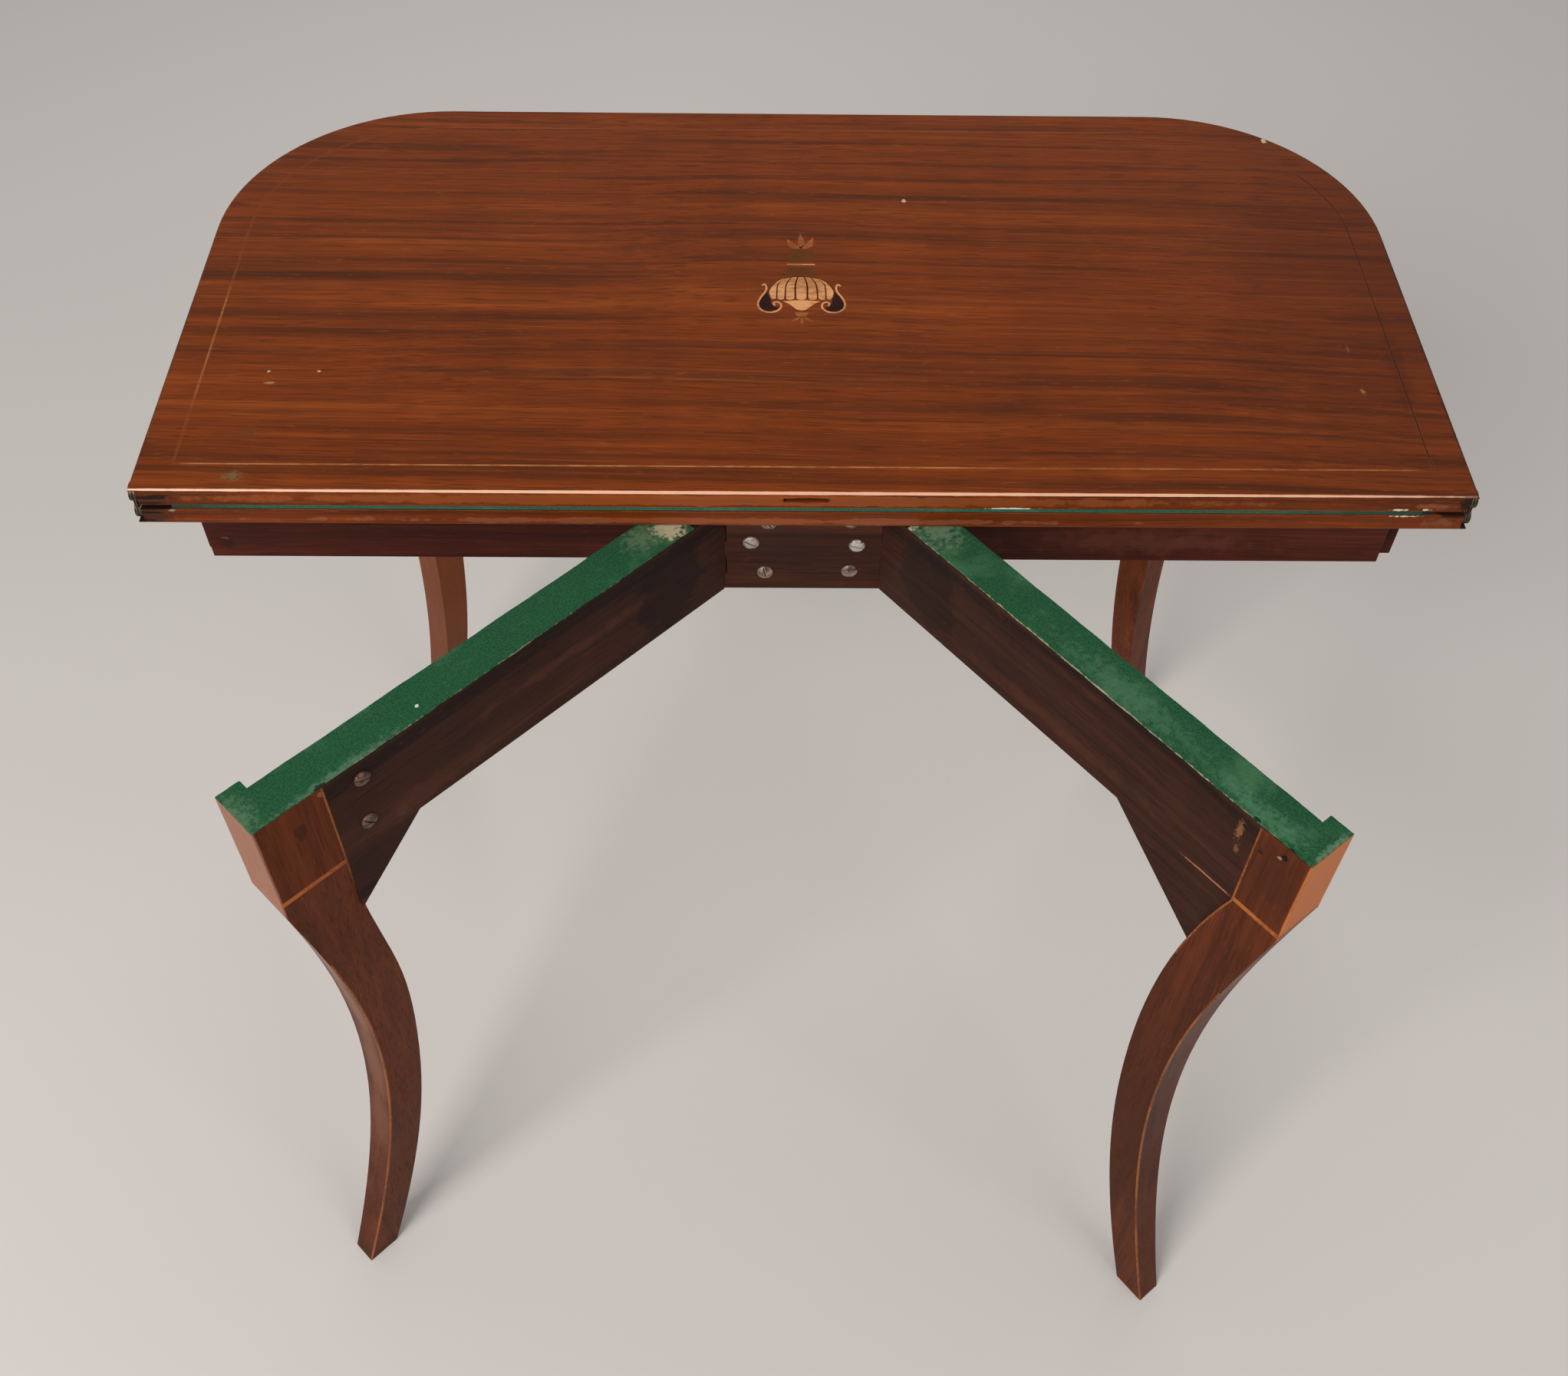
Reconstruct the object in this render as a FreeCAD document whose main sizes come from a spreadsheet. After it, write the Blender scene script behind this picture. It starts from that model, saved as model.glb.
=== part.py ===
import FreeCAD, Part
import math
import os
import Sketcher
from FreeCAD import Placement, Rotation, Vector

# Fold-over games table with two swing-out back legs. Millimetres, +Z up, +Y to the table's front.
# The top has two equal leaves hinged along the straight back edge. Both back legs stand on gates
# that turn on wooden knuckle joints at a block in the middle of the back rail. The table is shown
# with the top closed and both gates swung out.

os.makedirs("parts", exist_ok=True)
doc = FreeCAD.newDocument("games_table")
size = doc.addObject("Spreadsheet::Sheet", "size")

driving_sizes = (
    ("table_height", 737, "floor to the upper face of the closed top"),
    ("top_width", 914, "side to side"),
    ("top_depth", 457, "back edge to front edge, closed"),
    ("top_corner_radius", 165, "the two rounded front corners"),
    ("leaf_thickness", 14, "each of the two leaves"),
    ("leaf_arris", 2, "rounding of the show edges of the leaves"),
    ("baize_thickness", 2, "each of the two playing surfaces"),
    ("baize_margin", 3, "bare wood round the baize"),
    ("baize_back_margin", 13.2, "bare strip that the hinge geometry needs along the back"),
    ("string_inset", 25, "edge of the top to the string line"),
    ("string_width", 1.2, "the string line let into the top"),
    ("string_depth", 0.8, "the string line let into the top"),
    ("slot_width", 31, "alignment mortise in the back edge of the upper leaf"),
    ("slot_height", 4, "alignment mortise"),
    ("slot_depth", 15, "alignment mortise"),
    ("pivot_drop", 7.5, "joint level to each hinge pin"),
    ("back_edge_gap", 0.3, "between the back edges when the top lies open"),
    ("eye_radius", 6.5, "round end of a hinge plate"),
    ("eye_thickness", 5.2, "round end of a hinge plate"),
    ("eye_proud", 0.8, "hinge eye beyond the edge of the top"),
    ("eye_root", 10.5, "pin to the end of the thick part of a hinge plate"),
    ("plate_length", 64, "pin to the far end of a hinge plate"),
    ("plate_width", 10, "strap of a hinge plate"),
    ("plate_thickness", 2.5, "strap of a hinge plate"),
    ("link_radius", 5.8, "round ends of the hinge link"),
    ("link_thickness", 1.8, "hinge link"),
    ("link_clearance", 0.15, "each side of the link in its slot"),
    ("link_end_clearance", 0.3, "round the ends of the link in its slot"),
    ("hinge_pin_radius", 1.6, "rivets through the eyes"),
    ("pin_fit", 0.05, "round a pin in the piece that turns on it"),
    ("seat_fit", 0.02, "round a pin or screw in the piece that holds it"),
    ("recess_fit", 0.2, "round a hinge plate in its recess"),
    ("small_screw_head", 3, "head radius of the hinge screws"),
    ("small_screw_shank", 1.5, "shank radius of the hinge screws"),
    ("small_screw_sink", 1.5, "depth of the cone of the hinge screws"),
    ("small_screw_length", 15, "hinge screws"),
    ("apron_overhang", 14, "top beyond the frame at the sides and front"),
    ("frame_corner_inset", 190, "centres of the frame's round corners, from the edges of the top"),
    ("apron_height", 85, "rails of the frame"),
    ("rail_thickness", 22, "rails of the frame"),
    ("end_rebate_depth", 9, "rebate in each end of the back rail"),
    ("medial_thickness", 20, "cross rail in the middle of the frame"),
    ("medial_height", 60, "cross rail and corner blocks"),
    ("corner_block", 36, "legs of the triangular corner blocks"),
    ("block_setback", 18.5, "back edge of the top to the face of the hinge block"),
    ("gate_thickness", 31, "gate rails"),
    ("gate_clearance", 0.5, "closed gate to back rail"),
    ("gate_height", 81, "gate rails"),
    ("gate_baize", 1.5, "baize strip on the gates"),
    ("gate_top_gap", 0.5, "baize strip to the underside of the top"),
    ("gate_baize_start", 34, "pin to the inner end of the baize strip"),
    ("pin_spacing", 126, "between the two knuckle pins"),
    ("left_leg_inset", 0, "outer face of the closed left gate leg to the side of the top"),
    ("right_leg_inset", 7, "outer face of the closed right gate leg to the side of the top"),
    ("left_open", 45, "degrees the left gate is swung out"),
    ("right_open", 51, "degrees the right gate is swung out"),
    ("gate_stop", 52, "degrees at which the bevelled shoulders meet"),
    ("knuckle_zones", 5, "fingers across each knuckle joint"),
    ("knuckle_clearance", 0.3, "round the barrel and between shoulders"),
    ("finger_clearance", 0.2, "above and below each finger of a gate"),
    ("knuckle_pin_radius", 4, "iron pin of the knuckle joint"),
    ("screw_head", 5.5, "head radius of the wood screws"),
    ("screw_shank", 2.6, "shank radius of the wood screws"),
    ("screw_sink", 3, "depth of the cone of the wood screws"),
    ("screw_recess", 1, "head below the face of the wood"),
    ("block_screw_length", 46, "screws of the hinge block"),
    ("top_screw_length", 48, "screws that hold the top to the frame"),
    ("top_screw_bite", 9, "top screws in the lower leaf"),
    ("leg_width", 42, "swept part of a leg, and the pad of a front leg"),
    ("left_pad_width", 50, "pad of the left gate leg, along the gate"),
    ("right_pad_width", 38.5, "pad of the right gate leg, along the gate"),
    ("leg_pad_height", 82, "straight pad at the head of a leg"),
    ("leg_lip", 8, "pad behind the gate rail"),
    ("leg_lip_length", 17.6, "lip that laps the end of the back rail"),
    ("lip_clearance", 1.4, "closed lip to the end of its rebate"),
    ("leg_hollow", 36, "sweep of the leg inwards"),
    ("leg_kick", 25.5, "sweep of the foot outwards"),
    ("foot_depth", 22, "foot across the sweep"),
    ("foot_width", 29, "foot along the sweep"),
    ("left_leg_straight", 14, "left gate leg below its band, before the sweep starts"),
    ("left_lean_out", 14, "left gate leg leans outwards by this at the foot"),
    ("left_lean_back", 32.5, "left gate leg leans to the rear by this at the foot"),
    ("front_leg_proud", 1, "front leg beyond the curved frame"),
    ("band_height", 4, "light band round the foot of the pad"),
    ("band_depth", 0.8, "light band let into the pad"),
    ("tenon_length", 26, "gate rail into the leg"),
    ("tenon_thickness", 10, "gate rail into the leg"),
    ("tenon_shoulder", 12, "above and below the tenon"),
    ("left_bracket_reach", 58, "left bracket along the underside of its gate rail"),
    ("left_bracket_drop", 56, "left bracket down the leg"),
    ("right_bracket_reach", 112, "right bracket along the underside of its gate rail"),
    ("right_bracket_drop", 101, "right bracket down the leg"),
    ("bracket_thickness", 20, "bracket under a gate rail"),
    ("right_bracket_recess", 5, "right bracket behind the face of the gate rail"),
    ("lap_length", 52, "left bracket lapped behind its gate rail"),
    ("lap_height", 66, "left bracket lapped behind its gate rail"),
    ("bracket_screw_length", 26, "screws of the left bracket"),
    ("overrun", 2, "how far a cutting shape passes the face that it cuts"),
)
for row, (word, number, note) in enumerate(driving_sizes, start=1):
    size.set(f"A{row}", word)
    size.set(f"B{row}", str(number))
    size.set(f"C{row}", note)
    size.setAlias(f"B{row}", word)
doc.recompute()

# Shares of the sizes above, chosen by eye.
leg_curve_shares = (
    # drop below the pad, hollow, kick, width
    (0.12, 0.43, 0.00, 1.00),
    (0.26, 0.82, 0.00, 0.93),
    (0.44, 1.00, 0.00, 0.81),
    (0.62, 0.79, 0.00, 0.76),
    (0.80, 0.22, 0.00, 0.74),
)
plate_screw_shares = (0.36, 0.62, 0.88)
block_screw_shares = ((-0.40, 0.18), (0.52, 0.16), (-0.60, 0.42), (0.60, 0.45), (-0.44, 0.79), (0.53, 0.77))
top_screw_share = 0.62
lap_screw_shares = ((0.50, 0.19), (0.41, 0.71))
lap_depth_share = 0.5

quarter_turn = 90
half_quarter = 45
turns = {"X": Rotation(Vector(0, 1, 0), quarter_turn),
         "Y": Rotation(Vector(1, 0, 0), -quarter_turn),
         "-Y": Rotation(Vector(1, 0, 0), quarter_turn),
         "-X": Rotation(Vector(0, 1, 0), -quarter_turn),
         "Z": Rotation()}

# Levels and lines that follow from the sizes, in the frame of the closed top:
# y is zero at the back edge of the top, z is zero at the floor.
joint_level = "(size.table_height - size.leaf_thickness - size.baize_thickness)"
upper_leaf_foot = "(size.table_height - size.leaf_thickness)"
lower_leaf_top = f"({joint_level} - size.baize_thickness)"
apron_top = f"({lower_leaf_top} - size.leaf_thickness)"
apron_foot = f"({apron_top} - size.apron_height)"
half_width = "(size.top_width / 2)"
apron_half = f"({half_width} - size.apron_overhang)"
apron_front = "(size.top_depth - size.apron_overhang)"
apron_radius = "(size.frame_corner_inset - size.apron_overhang)"
corner_x = f"({half_width} - size.frame_corner_inset)"
corner_y = "(size.top_depth - size.frame_corner_inset)"
rail_face = "(size.block_setback + size.gate_thickness + size.gate_clearance)"
rail_back = f"({rail_face} + size.rail_thickness)"
pin_x = "(size.pin_spacing / 2)"
pin_y = "(size.block_setback + size.gate_thickness / 2)"
barrel = "(size.gate_thickness / 2)"
reaches = {word: f"({half_width} - size.{word}_leg_inset - {pin_x})" for word in ("left", "right")}
gate_baize_top = f"({apron_top} - size.gate_top_gap)"
gate_top = f"({gate_baize_top} - size.gate_baize)"
gate_foot = f"({gate_top} - size.gate_height)"
pad_foot = f"({gate_top} - size.leg_pad_height)"
block_height = f"({apron_top} - {gate_foot})"
block_screw_y = "(size.block_setback + size.screw_recess)"
top_screw_head = f"({apron_top} + size.top_screw_bite - size.top_screw_length)"
leg_depth = "(size.gate_thickness + size.leg_lip)"
finger = "(size.gate_height / size.knuckle_zones)"
pivot_y = "(size.pivot_drop - size.back_edge_gap / 2)"
eye_outside = f"({half_width} + size.eye_proud)"
eye_inside = f"({eye_outside} - size.eye_thickness)"
link_middle = f"({eye_outside} - size.eye_thickness / 2)"
slot_half = "(size.link_thickness / 2 + size.link_clearance)"
link_seat = "(size.link_radius + size.link_end_clearance)"
foot_inset = f"(({leg_depth} - size.foot_depth) / 2)"


def rear_foot(word, lean_out, lean_back):
    """Lowest y that a swung-out foot reaches, from its pin, its reach, the kick and the lean."""
    along = f"({reaches[word]} + size.leg_kick + {lean_out})"
    across = f"({barrel} - {foot_inset} - {lean_back})"
    return f"({pin_y} - {along} * sin(size.{word}_open) - {across} * cos(size.{word}_open))"


left_rear = rear_foot("left", "size.left_lean_out", "size.left_lean_back")
right_rear = rear_foot("right", "0", "0")
origin_y = f"((size.top_depth + min({left_rear}; {right_rear})) / 2)"

pieces = []


def value(text):
    """Number that an expression gives for the sizes in the sheet."""
    return float(size.evalExpression(text))


def bind(item, **expressions):
    for name, text in expressions.items():
        item.setExpression(name, text)
    return item


def move(item, x, y, z, turn="Z"):
    """Place an item at a point given by three expressions, turned onto an axis."""
    item.Placement = Placement(Vector(), turns[turn])
    for axis, text in (("x", x), ("y", y), ("z", z)):
        item.setExpression(f"Placement.Base.{axis}", text)
    return item


def box(name, x, y, z):
    """Box between two expressions along each axis."""
    item = doc.addObject("Part::Box", name)
    sides = [f"({far}) - ({near})" for near, far in (x, y, z)]
    bind(item, Length=sides[0], Width=sides[1], Height=sides[2])
    return move(item, x[0], y[0], z[0])


def rod(name, radius, length, x, y, z, turn="Z"):
    item = bind(doc.addObject("Part::Cylinder", name), Radius=radius, Height=length)
    return move(item, x, y, z, turn)


def cone(name, start, end, length, x, y, z, turn="Z"):
    item = bind(doc.addObject("Part::Cone", name), Radius1=start, Radius2=end, Height=length)
    return move(item, x, y, z, turn)


def fuse(name, *items):
    item = doc.addObject("Part::MultiFuse", name)
    item.Shapes = list(items)
    return item


def group(name, items):
    item = doc.addObject("Part::Compound", name)
    item.Links = list(items)
    return item


def cut(name, base, *tools):
    item = doc.addObject("Part::Cut", name)
    item.Base = base
    item.Tool = tools[0] if len(tools) == 1 else fuse(f"{name}_tools", *tools)
    return item


def span(side, near, far):
    """Low and high x of a stretch that runs outwards on the left (-1) or the right (1)."""
    if side > 0:
        return near, far
    return f"-({far})", f"-({near})"


def out(side, text):
    return f"({text})" if side > 0 else f"-({text})"


def keep(item, label, gate=0):
    """Name a finished piece and put it in the row frame, swung out if it rides on a gate."""
    item.Label = label
    if gate == 0:
        item.Placement = Placement()
        item.setExpression("Placement.Base.y", f"-{origin_y}")
    else:
        opening = "size.left_open" if gate < 0 else "size.right_open"
        item.Placement = Placement(Vector(), Rotation(Vector(0, 0, -gate), half_quarter))
        item.setExpression("Placement.Rotation.Angle", opening)
        along = f"({pin_x} - {pin_x} * cos({opening}) - {pin_y} * sin({opening}))"
        back = f"({pin_y} + {pin_x} * sin({opening}) - {pin_y} * cos({opening}))"
        item.setExpression("Placement.Base.x", out(gate, along))
        item.setExpression("Placement.Base.y", f"{back} - {origin_y}")
    pieces.append(item)
    return item


def new_sketch(body, name, plane, height="0"):
    """Sketch on one of the body's own planes, lifted along the plane's normal."""
    sketch = body.newObject("Sketcher::SketchObject", name)
    support = [item for item in body.Origin.OriginFeatures if item.Role == plane][0]
    sketch.AttachmentSupport = [(support, "")]
    sketch.MapMode = "FlatFace"
    sketch.setExpression("AttachmentOffset.Base.z", height)
    return sketch


def trace(sketch, corners, arcs=None):
    """Closed outline through corners given as pairs of expressions; arcs bulge to the right."""
    arcs = arcs or {}
    first = sketch.GeometryCount
    points = [Vector(value(across), value(along), 0) for across, along in corners]
    count = len(points)
    for index, start in enumerate(points):
        end = points[(index + 1) % count]
        if index in arcs:
            radius = value(arcs[index])
            chord = end - start
            rise = math.sqrt(max(radius ** 2 - chord.Length ** 2 / 4, 0))
            centre = (start + end) * 0.5 + Vector(-chord.y, chord.x, 0).normalize() * rise
            angles = [math.atan2(spot.y - centre.y, spot.x - centre.x) for spot in (start, end)]
            sketch.addGeometry(Part.ArcOfCircle(Part.Circle(centre, Vector(0, 0, 1), radius), *angles))
        else:
            sketch.addGeometry(Part.LineSegment(start, end))
    for index in range(count):
        after = first + (index + 1) % count
        sketch.addConstraint(Sketcher.Constraint("Coincident", first + index, 2, after, 1))
    for index, (point, texts) in enumerate(zip(points, corners)):
        for kind, number, text in (("DistanceX", point.x, texts[0]), ("DistanceY", point.y, texts[1])):
            place = sketch.addConstraint(Sketcher.Constraint(kind, -1, 1, first + index, 1, number))
            sketch.setExpression(f"Constraints[{place}]", text)
    for index, text in arcs.items():
        place = sketch.addConstraint(Sketcher.Constraint("Radius", first + index, value(text)))
        sketch.setExpression(f"Constraints[{place}]", text)


def pad(body, sketch, length, backwards=False):
    feature = body.newObject("PartDesign::Pad", f"{sketch.Name}_pad")
    feature.Profile = sketch
    feature.Reversed = backwards
    feature.setExpression("Length", length)
    return feature


def top_outline(inset, back):
    """Straight back edge, straight sides, and two round corners on to the straight front."""
    side = f"({half_width} - {inset})"
    front = f"(size.top_depth - {inset})"
    round_x = f"({half_width} - size.top_corner_radius)"
    round_y = "(size.top_depth - size.top_corner_radius)"
    corners = [(f"-{side}", back), (side, back), (side, round_y), (round_x, front),
               (f"-{round_x}", front), (f"-{side}", round_y)]
    radius = f"size.top_corner_radius - {inset}"
    return corners, {2: radius, 4: radius}


def plate(name, foot, thickness, inset, back, round_level=None):
    """Flat piece in the outline of the top, with the edges at one level rounded."""
    body = doc.addObject("PartDesign::Body", name)
    sketch = new_sketch(body, f"{name}_outline", "XY_Plane", foot)
    trace(sketch, *top_outline(inset, back))
    solid = pad(body, sketch, thickness)
    if round_level is not None:
        doc.recompute()
        level = value(round_level)
        near = value("size.leaf_arris") / 2
        names = [f"Edge{index}" for index, edge in enumerate(solid.Shape.Edges, start=1)
                 if abs(edge.BoundBox.ZMin - level) < near and abs(edge.BoundBox.ZMax - level) < near]
        rounding = body.newObject("PartDesign::Fillet", f"{name}_arris")
        rounding.Base = (solid, names)
        rounding.setExpression("Radius", "size.leaf_arris")
        body.Tip = rounding
    return body


# Hinges: on each side edge two plates with round eyes, joined by a link on two pins.
def hinge_plate(side, level):
    """Plate of the lower (-1) or upper (1) leaf: slotted eye, thick root and screwed strap."""
    name = f"{'left' if side < 0 else 'right'}_{'lower' if level < 0 else 'upper'}_hinge_plate"
    middle = f"({joint_level} {'-' if level < 0 else '+'} size.pivot_drop)"
    low, high = f"({middle} - size.plate_width / 2)", f"({middle} + size.plate_width / 2)"
    thick = span(side, eye_inside, eye_outside)
    strap_x = span(side, f"{half_width} - size.plate_thickness", half_width)
    far = f"({pivot_y} + size.plate_length - size.plate_width / 2)"
    eye = rod(f"{name}_eye", "size.eye_radius", "size.eye_thickness", thick[0], pivot_y, middle, "X")
    root = box(f"{name}_root", thick, (pivot_y, f"({pivot_y} + size.eye_root)"), (low, high))
    strap = box(f"{name}_strap", strap_x, (pivot_y, far), (low, high))
    tail = rod(f"{name}_tail", "size.plate_width / 2", "size.plate_thickness", strap_x[0], far, middle, "X")
    slot_x = span(side, f"{link_middle} - {slot_half}", f"{link_middle} + {slot_half}")
    reach = "(size.eye_radius + size.overrun)"
    seat = rod(f"{name}_seat", link_seat, f"2 * {slot_half}", slot_x[0], pivot_y, middle, "X")
    back = (f"({pivot_y} - {reach})", pivot_y)
    if level < 0:
        open_z, back_z = (middle, f"({middle} + {reach})"), (f"({middle} - {link_seat})", middle)
    else:
        open_z, back_z = (f"({middle} - {reach})", middle), (middle, f"({middle} + {link_seat})")
    mouth = box(f"{name}_mouth", slot_x, (back[0], f"({pivot_y} + {link_seat})"), open_z)
    rear = box(f"{name}_rear", slot_x, back, back_z)
    hole = rod(f"{name}_hole", "size.hinge_pin_radius + size.seat_fit", "size.eye_thickness",
               thick[0], pivot_y, middle, "X")
    tools = [seat, mouth, rear, hole]
    tools += [screw_shape(f"{name}_screw_hole_{index}", "small", side, place, middle, "size.seat_fit")
              for index, place in enumerate(plate_screw_places(), start=1)]
    body = fuse(f"{name}_body", eye, root, strap, tail)
    return keep(cut(name, body, *tools), name)


def plate_screw_places():
    return [f"({pivot_y} + {share} * size.plate_length)" for share in plate_screw_shares]


def screw_shape(name, kind, side, y, z, fit="0"):
    """Countersunk hinge screw driven inwards through a plate, its head flush with the edge."""
    turn = "-X" if side > 0 else "X"
    face = out(side, half_width)
    head = cone(f"{name}_head", f"size.{kind}_screw_head + {fit}", f"size.{kind}_screw_shank + {fit}",
                f"size.{kind}_screw_sink", face, y, z, turn)
    shank = rod(f"{name}_shank", f"size.{kind}_screw_shank + {fit}", f"size.{kind}_screw_length + {fit}",
                face, y, z, turn)
    return fuse(name, head, shank)


def hinge_pin(side, level):
    name = f"{'left' if side < 0 else 'right'}_{'lower' if level < 0 else 'upper'}_hinge_pin"
    middle = f"({joint_level} {'-' if level < 0 else '+'} size.pivot_drop)"
    start = span(side, eye_inside, eye_outside)[0]
    pin = rod(f"{name}_rod", "size.hinge_pin_radius", "size.eye_thickness", start, pivot_y, middle, "X")
    return keep(group(name, [pin]), name)


def hinge_link(side):
    """Flat link with two round ends, upright in the slots of both eyes while the top is closed."""
    name = f"{'left' if side < 0 else 'right'}_hinge_link"
    x = span(side, f"({link_middle} - size.link_thickness / 2)", f"({link_middle} + size.link_thickness / 2)")
    levels = [f"({joint_level} - size.pivot_drop)", f"({joint_level} + size.pivot_drop)"]
    ends = [rod(f"{name}_end_{index}", "size.link_radius", "size.link_thickness", x[0], pivot_y, level, "X")
            for index, level in enumerate(levels, start=1)]
    web = box(f"{name}_web", x, (f"({pivot_y} - size.link_radius)", f"({pivot_y} + size.link_radius)"), levels)
    holes = [rod(f"{name}_hole_{index}", "size.hinge_pin_radius + size.pin_fit", "size.link_thickness",
                 x[0], pivot_y, level, "X") for index, level in enumerate(levels, start=1)]
    return keep(cut(name, fuse(f"{name}_body", *ends, web), *holes), name)


def hinge_recess(side, level):
    """Room for a plate in the edge of a leaf: notch under the show face at the eye, root and strap."""
    name = f"{'left' if side < 0 else 'right'}_{'lower' if level < 0 else 'upper'}_recess"
    middle = f"({joint_level} {'-' if level < 0 else '+'} size.pivot_drop)"
    foot = upper_leaf_foot if level > 0 else apron_top
    eye_room = "(size.eye_radius + size.recess_fit)"
    tall = (f"({foot} - size.overrun)", f"({middle} + {eye_room})")
    if level < 0:
        tall = (f"({middle} - {eye_room})", f"({foot} + size.leaf_thickness + size.overrun)")
    outside = f"({half_width} + size.overrun)"
    deep = span(side, f"{eye_inside} - size.recess_fit", outside)
    notch = box(f"{name}_notch", deep, ("-size.overrun", f"({pivot_y} + {eye_room})"), tall)
    band = (f"({middle} - size.plate_width / 2 - size.recess_fit)",
            f"({middle} + size.plate_width / 2 + size.recess_fit)")
    root = box(f"{name}_root", deep, (pivot_y, f"({pivot_y} + size.eye_root + size.recess_fit)"), band)
    far = f"({pivot_y} + size.plate_length - size.plate_width / 2)"
    shallow = span(side, f"{half_width} - size.plate_thickness", outside)
    strap = box(f"{name}_strap", shallow, (pivot_y, far), band)
    tail = rod(f"{name}_tail", "size.plate_width / 2 + size.recess_fit",
               "size.plate_thickness + size.overrun", shallow[0], far, middle, "X")
    holes = [screw_shape(f"{name}_screw_{index}", "small", side, place, middle, "size.seat_fit")
             for index, place in enumerate(plate_screw_places(), start=1)]
    return [notch, root, strap, tail] + holes


def hinge_screws(level):
    name = f"{'lower' if level < 0 else 'upper'}_hinge_screws"
    middle = f"({joint_level} {'-' if level < 0 else '+'} size.pivot_drop)"
    screws = [screw_shape(f"{name}_{word}_{index}", "small", side, place, middle)
              for side, word in ((-1, "left"), (1, "right"))
              for index, place in enumerate(plate_screw_places(), start=1)]
    return keep(group(name, screws), name)


# Frame under the top: straight rails, four curved rails at the rounded corners, cross rail.
def wood_screw(name, x, y, z, turn, length, fit="0", recess=None):
    """Countersunk wood screw; as a cutting shape it also opens the recess over its head."""
    shank = rod(f"{name}_shank", f"size.screw_shank + {fit}", f"{length} + {fit}", x, y, z, turn)
    head = cone(f"{name}_head", f"size.screw_head + {fit}", f"size.screw_shank + {fit}",
                "size.screw_sink", x, y, z, turn)
    parts = [shank, head]
    if recess is not None:
        parts.append(rod(f"{name}_recess", f"size.screw_head + {fit}", recess[0], x, y, z, recess[1]))
    return fuse(name, *parts)


def block_screw_spots():
    """Six spots on the hinge block: x from the middle, z down from its top."""
    return [(f"({across} * {pin_x})", f"({apron_top} - {down} * {block_height})")
            for across, down in block_screw_shares]


def top_screw_spots():
    """Screws up through the rails: two behind, two in front, one in each side."""
    behind = f"({rail_face} + size.rail_thickness / 2)"
    front = f"({apron_front} - size.rail_thickness / 2)"
    beside = f"({apron_half} - size.rail_thickness / 2)"
    middle = f"(({rail_back} + {corner_y}) / 2)"
    across = f"({top_screw_share} * {apron_half})"
    ahead = f"({top_screw_share} * {corner_x})"
    return [(f"-{across}", behind), (across, behind), (f"-{ahead}", front), (ahead, front),
            (f"-{beside}", middle), (beside, middle)]


def top_screw_bores(name, picks):
    """Deep counterbored holes for the chosen top screws, from the foot of the rail up."""
    depth = f"({top_screw_head} - {apron_foot} + size.overrun)"
    bores = []
    for index in picks:
        x, y = top_screw_spots()[index]
        bores.append(wood_screw(f"{name}_bore_{index}", x, y, top_screw_head, "Z",
                                "size.top_screw_length", "size.seat_fit"))
        bores.append(rod(f"{name}_counterbore_{index}", "size.screw_head + size.seat_fit", depth,
                         x, y, f"({apron_foot} - size.overrun)"))
    return bores


def rail_levels():
    return apron_foot, apron_top


def make_rails():
    rebates = []
    for side in (-1, 1):
        reach = reaches["left" if side < 0 else "right"]
        lip_start = f"({pin_x} + {reach} - size.leg_lip_length - size.lip_clearance)"
        rebates.append(box(f"rebate_{side + 1}", span(side, lip_start, f"({apron_half} + size.overrun)"),
                           (f"({rail_face} - size.overrun)", f"({rail_face} + size.end_rebate_depth)"),
                           (f"({apron_foot} - size.overrun)", f"({apron_top} + size.overrun)")))
    bar = box("back_rail_bar", (f"-{apron_half}", apron_half), (rail_face, rail_back), rail_levels())
    screws = [wood_screw(f"back_rail_screw_{index}", x, block_screw_y, z, "Y", "size.block_screw_length",
                         "size.seat_fit") for index, (x, z) in enumerate(block_screw_spots())]
    keep(cut("back_rail", bar, *rebates, *screws, *top_screw_bores("back_rail", (0, 1))), "back_rail")
    front = box("front_rail_bar", (f"-{corner_x}", corner_x),
                (f"({apron_front} - size.rail_thickness)", apron_front), rail_levels())
    keep(cut("front_rail", front, *top_screw_bores("front_rail", (2, 3))), "front_rail")
    for side, word, pick in ((-1, "left", 4), (1, "right", 5)):
        bar = box(f"{word}_side_rail_bar", span(side, f"({apron_half} - size.rail_thickness)", apron_half),
                  (rail_back, corner_y), rail_levels())
        keep(cut(f"{word}_side_rail", bar, *top_screw_bores(f"{word}_side_rail", (pick,))),
             f"{word}_side_rail")
        for part, start in (("side", 0 if side > 0 else quarter_turn + half_quarter),
                            ("front", half_quarter if side > 0 else quarter_turn)):
            curved_rail(side, f"{word}_{part}_curved_rail", start)
    box_x = ("-size.medial_thickness / 2", "size.medial_thickness / 2")
    bar = box("medial_rail_bar", box_x, (rail_back, f"({apron_front} - size.rail_thickness)"),
              (f"({apron_top} - size.medial_height)", apron_top))
    keep(group("medial_rail", [bar]), "medial_rail")


def curved_rail(side, name, start):
    """Eighth of a ring at a rounded corner, butted against the side of the front leg's pad."""
    ring = rod(f"{name}_outer", apron_radius, "size.apron_height", out(side, corner_x), corner_y, apron_foot)
    ring.Angle = half_quarter
    ring.Placement = Placement(Vector(), Rotation(Vector(0, 0, 1), start))
    for axis, text in (("x", out(side, corner_x)), ("y", corner_y), ("z", apron_foot)):
        ring.setExpression(f"Placement.Base.{axis}", text)
    inner = rod(f"{name}_inner", f"{apron_radius} - size.rail_thickness", "size.apron_height",
                out(side, corner_x), corner_y, apron_foot)
    return keep(cut(name, ring, inner, pad_room(side, name)), name)


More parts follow.
